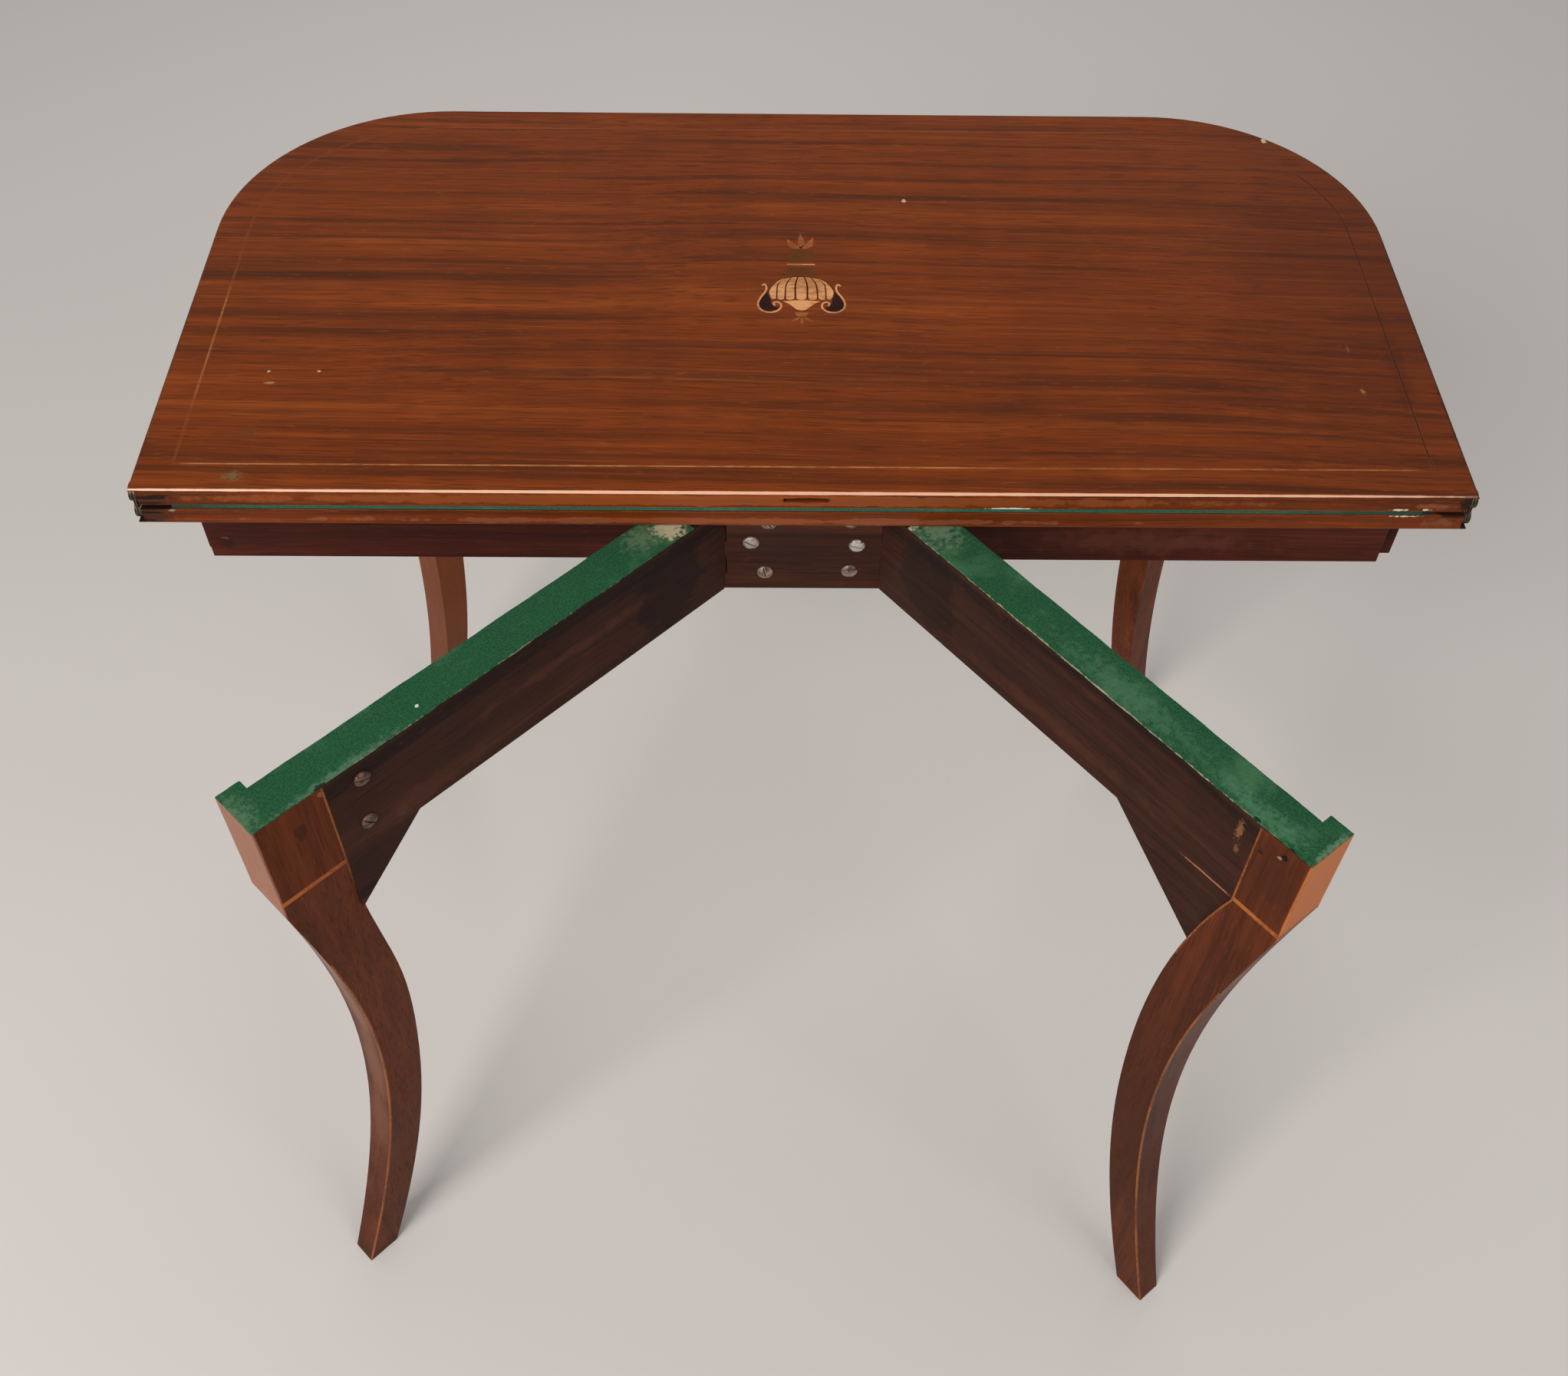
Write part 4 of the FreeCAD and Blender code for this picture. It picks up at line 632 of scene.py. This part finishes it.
# Surfaces: grids of points worked out with numpy
# Quads between neighbouring points of a grid; each row of a closed one comes round to its start.
def gridFaces(rows, columns, start, closed):
    i, j = np.arange(rows - 1)[:, None] * columns, np.arange(columns if closed else columns - 1)[None, :]
    nextJ = (j + 1) % columns
    return np.stack([i + j, i + columns + j, i + columns + nextJ, i + nextJ], -1).reshape(-1, 4) + start


# One piece from several grids of points in metres, welded, its faces turned outwards.
def makePiece(name, grids, material, body, replaced=()):
    points, faces, count, weld = [], [], 0, 1e-6
    for grid, closed in grids:
        rows, columns = grid.shape[:2]
        faces.append(gridFaces(rows, columns, count, closed))
        points.append(grid.reshape(-1, 3))
        count += rows * columns
    mesh = bpy.data.meshes.new(name)
    mesh.from_pydata(np.concatenate(points).tolist(), [], np.concatenate(faces).tolist())
    shape = bmesh.new()
    shape.from_mesh(mesh)
    bmesh.ops.remove_doubles(shape, verts=shape.verts, dist=weld)
    bmesh.ops.dissolve_degenerate(shape, edges=shape.edges, dist=weld)
    bmesh.ops.recalc_face_normals(shape, faces=shape.faces)
    shape.to_mesh(mesh)
    shape.free()
    mesh.materials.append(material)
    piece = bpy.data.objects.new(name, mesh)
    scene.collection.objects.link(piece)
    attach(piece, body)
    if replaced:
        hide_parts(*replaced)
    return piece


# Points in mm, drawn with the gates closed, moved to their place in metres.
def fromClosed(points, side=0):
    placed = np.array(points, float)
    if side:
        x, y = placed[..., 0] - side * pinX, placed[..., 1] - pinY
        x, y = turned(x, y, -gateTurns[side][2])
        placed[..., 0], placed[..., 1] = side * pinX + x, pinY + y
    placed[..., 1] -= shiftY
    return placed * mm


# Baize: cloth sheets with soft, slightly uneven edges, in mm; deep, cloth and faded tones, wear.
clothFinishes = {"leafCloth": ("#1C4A3C", "#2C6350", "#54806E", 0.3),
                 "gateCloth": ("#163822", "#225636", "#4C7250", 0.5)}
leafBaizePlan = {"margin": 3.4, "backMargin": 0.5, "thickness": 2.0, "hingeStart": 431, "hingeRoom": 15,
                 "ripple": 0.04, "ragged": 0.15}
gateBaizePlan = {"thickness": 1.4, "lift": 0.05, "overhang": 0.3, "endOverhang": 0.4, "step": 3.0,
                 "lipLength": 17.1, "leftStart": 34, "rightStart": 30, "ripple": 0.1, "ragged": 0.5}
clothPlan = {"edgeSteps": (0, 0.15, 0.4, 0.8, 2, 6), "rows": 34, "rim": 0.8, "flatRim": 5, "endRoom": 6,
             "edgeParts": 14, "ripples": (0.09, 0.13), "waveLengths": (90, 41, 23, 11, 5.3, 2.9)}
leftBaizeMarks = [
    ("#B4A484", -47, -1, 704.6, 13, 16, 3, 0.9, 300, 0.9, 0.5),
    ("#6C7A5C", -66, 4, 704.6, 22, 14, 3, 0.9, 300, 0.5, 0.9),
    ("#5A7858", -396, 2, 704.6, 18, 26, 3, 0.8, 240, 0.6, 0.95),
    ("#5E7A60", -330, -14, 704.6, 60, 5, 3, 0.9, 300, 0.5, 0.9),
    ("#98876C", -215, -15.9, 704, 165, 0.9, 3, 1.0, 250, 0.55, 0.5),
    ("#101A12", -345, -15, 704.6, 4.5, 2.2, 3, 0.5, 400, 0.9),
    ("#C8C8B8", -265.4, -6.1, 704.6, 1.5, 1.5, 3, 0.4, 500, 0.9),
]
rightBaizeMarks = [
    ("#6E8264", 46, 0, 704.6, 24, 22, 3, 0.9, 300, 0.65, 0.9),
    ("#A8A088", 31, 3, 704.6, 8, 22, 3, 0.9, 300, 0.9, 0.5),
    ("#A89C80", 200, -15.8, 704, 180, 1.1, 3, 1.0, 250, 0.7, 0.5),
    ("#507C5A", 345, -9, 704.6, 42, 13, 3, 0.9, 260, 0.5, 0.95),
    ("#5A7C5E", 235, -4, 704.6, 90, 14, 3, 0.9, 200, 0.3, 0.95),
    ("#101A12", 344, -14.4, 704.6, 3, 1.8, 3, 0.5, 400, 0.9),
    ("#101A12", 371.5, -15.6, 704.6, 3, 1.8, 3, 0.5, 400, 0.9),
    ("#6C8A6C", 385.5, 4, 704.6, 3, 26, 3, 0.9, 300, 0.55, 0.8),
]
leafBaizeMarks = spots([
    ("#20302C", -425, 0, 721, 50, 8, 6, 0.4, 90, 0.8, 0.9),
    ("#1F3A2E", 395, 0, 721, 90, 8, 6, 0.3, 60, 0.75, 0.9),
    ("#10151C", 431, 0, 721, 14, 8, 6, 0.5, 200, 0.95, 0.6),
])


def makeBaize(name, finish, marks, turn=origin, move=origin):
    deep, cloth, faded, wear = clothFinishes[finish]
    material, shader, vector = startMaterial(name, turn, move)
    nap = useGroup(feltNap, vector, Deep=deep, Cloth=cloth, Faded=faded, Wear=wear)
    feedAll(shader, {"Base Color": marked(nap["Color"], vector, marks), "Roughness": 0.95,
                     "Specular IOR Level": 0.15, "Sheen Weight": 0.35, "Sheen Roughness": 0.5,
                     "Sheen Tint": faded})
    bumped(shader, nap["Height"], 0.0004, 0.7)
    return material


# Smooth random wave along a cut edge: a few sines of falling height.
def cutWave(along, seed, size):
    rng = np.random.default_rng(seed)
    wave = np.zeros(np.shape(along))
    for length in clothPlan["waveLengths"]:
        height = rng.uniform(0.3, 1) * (length / 90) ** 0.3
        wave = wave + height * np.sin(along / length * 6.28 + rng.uniform(0, 6.3))
    return wave * size / 3


# Closed cloth: for each x a row from the low to the high edge, on an upper and a lower face. Near
# any edge the faces meet in a half round, and a small smooth wave stands for uneven cloth.
def clothSlab(xs, low, high, foot, plan, seed):
    thick, ripple, ragged = plan["thickness"], plan["ripple"], plan["ragged"]
    near = np.array(clothPlan["edgeSteps"])
    low = low + cutWave(xs, seed, ragged) + ragged
    high = high - cutWave(xs, seed + 1, ragged) - ragged
    room = np.maximum((high - low) / clothPlan["edgeParts"], 0)[:, None] * np.ones(len(near))
    offsets = np.minimum(near, room)
    shares = np.linspace(0, 1, clothPlan["rows"])[1:-1]
    inner = (low + offsets[:, -1])[:, None] * (1 - shares) + (high - offsets[:, -1])[:, None] * shares
    y = np.concatenate([low[:, None] + offsets, inner, high[:, None] - offsets[:, ::-1]], 1)
    x = np.repeat(xs[:, None], y.shape[1], 1)
    ends = np.clip(1 - np.minimum(x - xs[0], xs[-1] - x) / clothPlan["endRoom"], 0, 1)
    x = x + ends * np.sign(xs.mean() - x) * (cutWave(y, seed + 2, ragged) + ragged)
    rim = np.min([y - low[:, None], high[:, None] - y, x - x[0], x[-1] - x], axis=0)
    bulge = np.sqrt(np.clip(1 - (1 - np.clip(rim / clothPlan["rim"], 0, 1)) ** 2, 0, 1))
    inside = np.clip(rim / clothPlan["flatRim"], 0, 1)
    waveX, waveY = clothPlan["ripples"]
    wave = ripple * np.sin(x * waveX + seed) * np.sin(y * waveY + 2 * seed) * inside
    middle = foot + thick / 2
    top = np.stack([x, y, middle + bulge * (thick / 2 - ripple) + wave], -1)
    under = np.stack([x, y, middle - bulge * thick / 2], -1)
    return top, under


# Even steps between two ends, closer at both, with extra places added.
def endSteps(start, end, step, extra=()):
    near = np.array(clothPlan["edgeSteps"])
    places = np.concatenate([start + near, end - near, np.arange(start + 9, end - 9, step), extra])
    return np.unique(np.round(places, 3))


# Two cloth playing surfaces, cut to the outline of the leaves.
def makeLeafBaize(plan):
    depth, radius = table["depth"] - plan["margin"], table["cornerRadius"] - plan["margin"]
    centreX, centreY = table["halfWidth"] - table["cornerRadius"], table["depth"] - table["cornerRadius"]
    bend = centreX + radius * np.sin(np.linspace(0, math.pi / 2, 60))
    corner = plan["hingeStart"] + np.array([-0.1, 0.1])
    xs = np.unique(np.concatenate([np.linspace(-centreX, centreX, 120), bend, -bend, corner, -corner]))
    arc = centreY + np.sqrt(np.clip(radius ** 2 - (np.abs(xs) - centreX) ** 2, 0, None))
    high = np.where(np.abs(xs) > centreX, arc, depth)
    low = np.where(np.abs(xs) > plan["hingeStart"], plan["hingeRoom"], plan["backMargin"])
    for word, foot, body, seed in (("lower", seam - table["baize"], "frame", 3), ("upper", seam, "leaf", 8)):
        name = f"{word}Baize"
        grids = [(fromClosed(face), False) for face in clothSlab(xs, low, high, foot, plan, seed)]
        piece = makePiece(name, grids, makeBaize(name, "leafCloth", leafBaizeMarks), body,
                          [f"{word}_baize"])


# Strip along a gate's upper edge, widened over the lip of the leg.
def makeGateBaize(word, side, marks, plan):
    start, reach = plan[f"{word}Start"], table[f"{word}Reach"]
    face = table["blockFace"] - plan["overhang"]
    rear = table["blockFace"] + table["gateThickness"] + plan["overhang"]
    lipStart = reach - plan["lipLength"]
    xs = endSteps(start, reach + plan["endOverhang"], plan["step"], (lipStart - 0.1, lipStart + 0.1))
    low = np.full(len(xs), face)
    high = np.where(xs < lipStart, rear, rear + table["lip"])
    grids = []
    for cloth in clothSlab(xs, low, high, table["gateTop"] + plan["lift"], plan, 5 + side):
        cloth[..., 0] = side * (pinX + cloth[..., 0])
        grids.append((fromClosed(cloth, side), False))
    name = f"{word}GateBaize"
    material = makeBaize(name, "gateCloth", marks, gateTurns[side], gateMove(side))
    piece = makePiece(name, grids, material, f"{word}_gate", [f"{word}_gate_baize"])


makeLeafBaize(leafBaizePlan)
makeGateBaize("left", -1, leftBaizeMarks, gateBaizePlan)
makeGateBaize("right", 1, rightBaizeMarks, gateBaizePlan)
print("baize laid")

# Screws with slotted heads, in mm from the wood's face outwards; the neck runs inwards.
roundScrew = {"radius": 5.9, "rim": 0.7, "rise": 1.9, "slotWidth": 1.3, "slotLevel": 0.9, "slotReach": 1.0,
              "neck": [(5.9, 0.0), (5.3, -0.05), (5.3, -1.0), (2.6, -4.0)], "tip": 0.6}
flatScrew = {"radius": 2.95, "rim": 0.0, "rise": 0.12, "slotWidth": 0.8, "slotLevel": -0.6, "slotReach": 0.86,
             "neck": [(2.95, 0.0), (1.5, -1.5)], "tip": 0.4}
# Places x and z with the slot's turn; hinge screws stand at shares of the plate's length.
screwPlan = {
    "block": [(-25.2, 690.1, 35), (32.8, 691.7, 80), (-37.8, 670.1, 60), (37.8, 667.7, 75),
              (-27.7, 639.4, 15), (33.4, 641.1, 100)],
    "bracket": [(-318.0, 687.6, 70), (-322.0, 645.5, 40)],
    "blockLength": 47.0, "bracketLength": 27.0, "hingeLength": 15.0,
    "hingeStart": 7.35, "plateLength": 64, "hingeShares": (0.36, 0.62, 0.88), "hingeLevel": 7.5,
    "hingeTurns": (50, 240, 30),
}


# Slotted head over a round rim. Columns run across the slot, and a row's place along it is its
# share times the half chord there. The height is the rim plus the rise times the square root of
# one minus the squared share of the radius, cut down to the slot's level.
def screwShape(plan, length, turn):
    radius, half = plan["radius"], plan["slotWidth"] / 2
    side = -radius * np.cos(np.linspace(0, math.acos(half / radius), 9))
    x = np.concatenate([side, [-half, 0, half], -side[::-1]])
    inSlot = np.zeros(len(x), bool)
    inSlot[9:12] = True
    share = np.sin(np.linspace(-math.pi / 2, math.pi / 2, 17))
    chord = np.sqrt(np.clip(radius ** 2 - x ** 2, 0, None))
    across = np.repeat(x[None, :], len(share), 0)
    along = share[:, None] * chord[None, :]
    dome = np.sqrt(np.clip(1 - (across ** 2 + along ** 2) / radius ** 2, 0, None))
    height = plan["rim"] + plan["rise"] * dome
    cutHere = inSlot[None, :] & (np.abs(share)[:, None] <= plan["slotReach"])
    height = np.where(cutHere, np.minimum(height, plan["slotLevel"]), height)
    head = np.stack([across, along, height], -1)
    rimX, rimY = np.concatenate([x, x[::-1]]) / radius, np.concatenate([-chord, chord[::-1]]) / radius
    point = [(plan["neck"][-1][0], plan["tip"] - length), (0.0, -length)]
    profile = np.array([(radius, plan["rim"])] + plan["neck"] + point)
    wide, level = profile[:, :1], np.repeat(profile[:, 1:], len(rimX), 1)
    shank = np.stack([wide * rimX, wide * rimY, level], -1)
    return [np.stack([*turned(part[..., 0], part[..., 1], turn), part[..., 2]], -1) for part in (head, shank)]


# Screws at places in the closed top's frame; facing is across, up and out of their heads.
def placeScrews(plan, length, places, facing, side=0):
    axes = np.array(facing, float)
    grids = []
    for x, y, z, turn in places:
        for shape, closed in zip(screwShape(plan, length, turn), (False, True)):
            grids.append((fromClosed(shape @ axes + np.array([x, y, z]), side), closed))
    return grids


def makeScrews(plan):
    backwards = ((1, 0, 0), (0, 0, 1), (0, -1, 0))
    face = table["blockFace"]
    places = [(x, face, z, turn) for x, z, turn in plan["block"]]
    makePiece("blockScrews", placeScrews(roundScrew, plan["blockLength"], places, backwards), blockSteel,
              "frame", ["block_screws"])
    places = [(x - pinX, face, z, turn) for x, z, turn in plan["bracket"]]
    makePiece("bracketScrews", placeScrews(roundScrew, plan["bracketLength"], places, backwards, -1), rusty,
              "left_gate", ["left_bracket_screws"])
    turn, perShare, perSide = plan["hingeTurns"]
    for word, body, level in (("lower", "frame", -plan["hingeLevel"]), ("upper", "leaf", plan["hingeLevel"])):
        grids = []
        for sign in (-1, 1):
            places = [(sign * table["halfWidth"], plan["hingeStart"] + plan["plateLength"] * share,
                       seam + level, turn + perShare * share + perSide * sign)
                      for share in plan["hingeShares"]]
            facing = ((0, sign, 0), (0, 0, 1), (sign, 0, 0))
            grids += placeScrews(flatScrew, plan["hingeLength"], places, facing)
        makePiece(f"{word}HingeScrews", grids, rusty, body, [f"{word}_hinge_screws"])


makeScrews(screwPlan)
print("screws driven")

# Light strings along the arrises of the legs, in mm. A leg's face stands at padY down to the
# pad's foot and leans to its own y at the floor; the second value is the inner string's end.
stringPlan = {"width": 1.3, "lift": 0.06, "innerStart": 702.7, "outerStart": 520, "outerEnd": 0.4,
              "points": 100, "faceRoom": 0.06, "middleRoom": 5, "curve": 6, "padY": -15.5}
legFaces = {"left": (25.5, 556), "right": (-7.0, 521)}


def meshPoints(node):
    mesh = nodes[node].data
    flat = np.empty(len(mesh.vertices) * 3, np.float32)
    mesh.vertices.foreach_get("co", flat)
    return flat.reshape(-1, 3).astype(float) / mm


# Inverse of fromClosed for a gate, measured from its pin and outwards along it, in mm.
def toGate(points, side):
    x, y = points[:, 0] - side * pinX, points[:, 1] + shiftY - pinY
    along, across = turned(x, y, gateTurns[side][2])
    return np.stack([side * along, across, points[:, 2]], -1)


# Distance out at each level of a leg's inner (-1) or outer (1) arris, which a fitted curve
# through the points of the leaning face parts.
def arrisLine(points, footY, edge, levels):
    fall = np.clip((table["padFoot"] - points[:, 2]) / table["padFoot"], 0, 1)
    faceY = stringPlan["padY"] + (footY - stringPlan["padY"]) * fall
    shown = points[np.abs(points[:, 1] - faceY) < stringPlan["faceRoom"]]
    middle = np.polyval(np.polyfit(shown[:, 2], shown[:, 0], stringPlan["curve"]), shown[:, 2])
    line = shown[(shown[:, 0] - middle) * edge > stringPlan["middleRoom"]]
    order = np.argsort(line[:, 2])
    return np.interp(levels, line[order, 2], line[order, 0])


# Square bar let into an arris: each corner is the arris point moved by the lift or the width,
# outwards in the face and along its normal.
def stringGrid(points, footY, edge, top, foot, side):
    levels = np.linspace(top, foot, stringPlan["points"])
    along = arrisLine(points, footY, edge, levels)
    slope = (footY - stringPlan["padY"]) / table["padFoot"]
    fall = np.clip(table["padFoot"] - levels, 0, None)
    path = np.stack([along, stringPlan["padY"] + slope * fall, levels], -1)
    run = np.gradient(along, levels)
    outward = np.stack([np.ones_like(run), np.zeros_like(run), -run], -1) * edge
    outward /= np.linalg.norm(outward, axis=1, keepdims=True)
    lean = np.where(levels < table["padFoot"], slope, 0)
    normal = np.stack([np.zeros_like(run), -np.ones_like(run), -lean], -1)
    normal /= np.linalg.norm(normal, axis=1, keepdims=True)
    lift, width = stringPlan["lift"], stringPlan["width"]
    bar = capped(np.stack([path + a * outward + b * normal for a, b in (
        (lift, lift), (lift, -width), (-width, -width), (-width, lift))], 1))
    bar[..., 0] = side * (pinX + bar[..., 0])
    bar[..., 1] += pinY
    return fromClosed(bar, side), True


# Bar with each end's ring of four drawn together at its middle.
def capped(bar):
    caps = bar.mean(1, keepdims=True).repeat(4, 1)
    return np.concatenate([caps[:1], bar, caps[-1:]])


def makeLegStrings(plan):
    for word, side in (("left", -1), ("right", 1)):
        footY, innerEnd = legFaces[word]
        points = toGate(meshPoints(f"{word}_gate_leg"), side)
        grids = [stringGrid(points, footY, -1, plan["innerStart"], innerEnd, side),
                 stringGrid(points, footY, 1, plan["outerStart"], plan["outerEnd"], side)]
        makePiece(f"{word}LegStrings", grids, inlays["stringWood"], f"{word}_gate")


makeLegStrings(stringPlan)
print("leg strings laid")

# Urn marquetry of the top: half outlines to the right of its middle line, in mm
urnPlan = {
    "middle": -1.2, "depth": 0.2,
    "lifts": {"bowl": 0.07, "handle": 0.06, "leaf": 0.06, "bar": 0.05, "stem": 0.05, "neck": 0.03,
              "fill": 0.03, "shade": 0.02},
    "dome": [(0, 234.9), (7.2, 234.1), (13.4, 232.3), (19, 227.8), (22.8, 221.5), (24.9, 215.9), (24, 211),
             (21.2, 207.6)],
    "fluteTops": (2.5, 7.6, 12.9), "fluteWaists": (4.5, 11.4, 17.8), "fluteFeet": (4.6, 12.4, 18.6),
    "waistLevel": 224.4, "fluteLevel": 209.3, "fluteGap": 0.085, "scallop": 2.7,
    "bowlTop": [(14.3, 204.7), (7, 205.7), (0, 206.1)],
    "bowlFoot": [(14.3, 204.7), (10.4, 202.4), (6.9, 198.9), (3.7, 195.3), (0, 194)],
    "handle": [(29.9, 223.4), (27.6, 225), (26.4, 220.4), (27.6, 215.2), (30.6, 209.4), (32.7, 202.4),
               (31.7, 196.7), (28.3, 192.9), (23.6, 191.7), (18.7, 193.1), (15.6, 197), (15.6, 201.4),
               (18.2, 203.9), (20.9, 202.6), (20.1, 199.7)],
    "handleWidth": 1.5,
    "fillOut": [(26.2, 216.6), (27.6, 213.4), (30, 208.8), (31.8, 202.3), (30.8, 197.1), (27.6, 193.8),
                (22.8, 193), (18.4, 195.2)],
    "fillIn": [(26, 216.2), (24.8, 211.8), (23.2, 208), (22.8, 203), (22, 200.6), (20.6, 198.4),
               (18.6, 198), (17, 199)],
    "leaves": [((0, 270.2), (-6.6, 273.4), (-10.6, 281.8), 5.6), ((0, 270.2), (6.2, 274), (9.9, 283.6), 5.6),
               ((0, 269.9), (0.5, 278), (-0.2, 288), 5.2), ((-1.4, 186), (-4, 183.6), (-8.4, 180.6), 2.1),
               ((0, 186.2), (0.2, 182.4), (0, 177.6), 2.2), ((1.4, 186), (4.2, 184), (8.4, 181.6), 2.1)],
    "bar": (10.7, 249.7, 0.7), "stem": (5.4, 191.6, 3.3, 187),
    "neck": [(9, 268.4, 9.9, 252.6), (10.2, 246.5, 11.4, 235.6)],
}


# Smooth curve through points: cubics whose end slopes are half the step between the neighbours.
def smoothCurve(points, count=24):
    p = np.array(points, float)
    p = np.concatenate([2 * p[:1] - p[1:2], p, 2 * p[-1:] - p[-2:-1]])
    u = np.linspace(0, len(p) - 3, count)
    i = np.minimum(u.astype(int), len(p) - 4)
    t = (u - i)[:, None]
    a, b, c, d = (p[i + k] for k in range(4))
    return (2 * b + (c - a) * t + (2 * a - 5 * b + 4 * c - d) * t ** 2 + (3 * b - a - 3 * c + d) * t ** 3) / 2


# Thin closed plate between two edge curves, let into the top and a hair proud of it.
def inlayPlate(first, second, lift):
    high, low = table["height"] + lift, table["height"] - urnPlan["depth"]
    plate = np.stack([np.concatenate([line, np.full((len(line), 1), level)], 1)
                      for line, level in ((first, high), (second, high), (second, low), (first, low))], 1)
    plate[..., 0] += urnPlan["middle"]
    return fromClosed(capped(plate)), True


# Ribbon along a path: its edges lie half the width away along the path's normal.
def inlayRibbon(path, width, lift):
    run = np.gradient(path, axis=0)
    run /= np.linalg.norm(run, axis=1, keepdims=True)
    away = np.stack([-run[:, 1], run[:, 0]], -1) * np.reshape(width, (-1, 1)) / 2
    return inlayPlate(path + away, path - away, lift)


# Plate with straight sides: half its width and its level, at the top and at the foot.
def inlayWedge(top, topLevel, foot, footLevel, lift):
    left, right = ([(sign * top, topLevel), (sign * foot, footLevel)] for sign in (-1, 1))
    return inlayPlate(left, right, lift)


def mirrored(line, sign):
    return np.array(line, float) * (sign, 1)


# Leaf from base to tip: its width rises and falls as a half sine.
def inlayLeaf(base, bend, tip, width, lift):
    path = smoothCurve((base, bend, tip), 16)
    return inlayRibbon(path, width * np.sin(np.linspace(0.25, math.pi - 0.02, 16)) + 0.02, lift)


# Flutes of the dome: each lies between two lines from the outline to a scalloped foot.
def domeFlutes(plan, lift):
    lines = []
    crown = np.array(plan["dome"][:5])
    for top, waist, foot in zip(plan["fluteTops"], plan["fluteWaists"], plan["fluteFeet"]):
        high = np.interp(top, crown[:, 0], crown[:, 1]) - 0.5
        lines.append(smoothCurve([(top, high), (waist, plan["waistLevel"]), (foot, plan["fluteLevel"])], 18))
    lines.append(smoothCurve(plan["dome"][2:7], 18))
    lines = [mirrored(line, -1) for line in lines[::-1]] + lines
    grids = []
    fall = np.linspace(0, 1, 9)[1:, None]
    curve = np.sqrt(1 - fall ** 2)
    drop = np.concatenate([np.zeros_like(fall), -plan["scallop"] * fall], 1)
    for first, second in zip(lines[:-1], lines[1:]):
        gap = (second - first) * plan["fluteGap"]
        first, second = first + gap, second - gap
        middle, half = (first[-1] + second[-1]) / 2, (second[-1] - first[-1]) / 2
        first = np.concatenate([first, middle - half * curve + drop])
        second = np.concatenate([second, middle + half * curve + drop])
        grids.append(inlayPlate(first, second, lift))
    return grids


# Each wood stands proud by its own small lift, so that the light parts lie over the shade.
def makeUrn(plan):
    lift = plan["lifts"]
    light, shade, dark = domeFlutes(plan, lift["bowl"]), [], []
    low, high = smoothCurve(plan["bowlFoot"]), smoothCurve(plan["bowlTop"])
    handle = smoothCurve(plan["handle"], 90)
    fillOut, fillIn = smoothCurve(plan["fillOut"], 30), smoothCurve(plan["fillIn"], 30)
    outline = smoothCurve(plan["dome"], 40) * (1.02, 1) + (0, 0.3)
    base = np.stack([outline[:, 0] * 0, np.minimum(outline[:, 1], 234.5)], -1)
    for sign in (-1, 1):
        light.append(inlayPlate(mirrored(low, sign), mirrored(high, sign), lift["bowl"]))
        light.append(inlayRibbon(mirrored(handle, sign), plan["handleWidth"], lift["handle"]))
        shade.append(inlayPlate(mirrored(outline, sign), base, lift["shade"]))
        dark.append(inlayPlate(mirrored(fillOut, sign), mirrored(fillIn, sign), lift["fill"]))
    reach, level, half = plan["bar"]
    upper, lower = ([(-reach, level + rise), (reach, level + rise)] for rise in (half, -half))
    light.append(inlayPlate(upper, lower, lift["bar"]))
    tan = [inlayWedge(*plan["stem"], lift["stem"])]
    tan += [inlayLeaf(*leaf, lift["leaf"]) for leaf in plan["leaves"]]
    green = [inlayWedge(*part, lift["neck"]) for part in plan["neck"]]
    for name, grids in (("urnHolly", light), ("urnShade", shade), ("urnDark", dark), ("urnGreen", green),
                        ("urnTan", tan)):
        makePiece(name, grids, inlays[name], "leaf")


makeUrn(urnPlan)
print("urn laid")
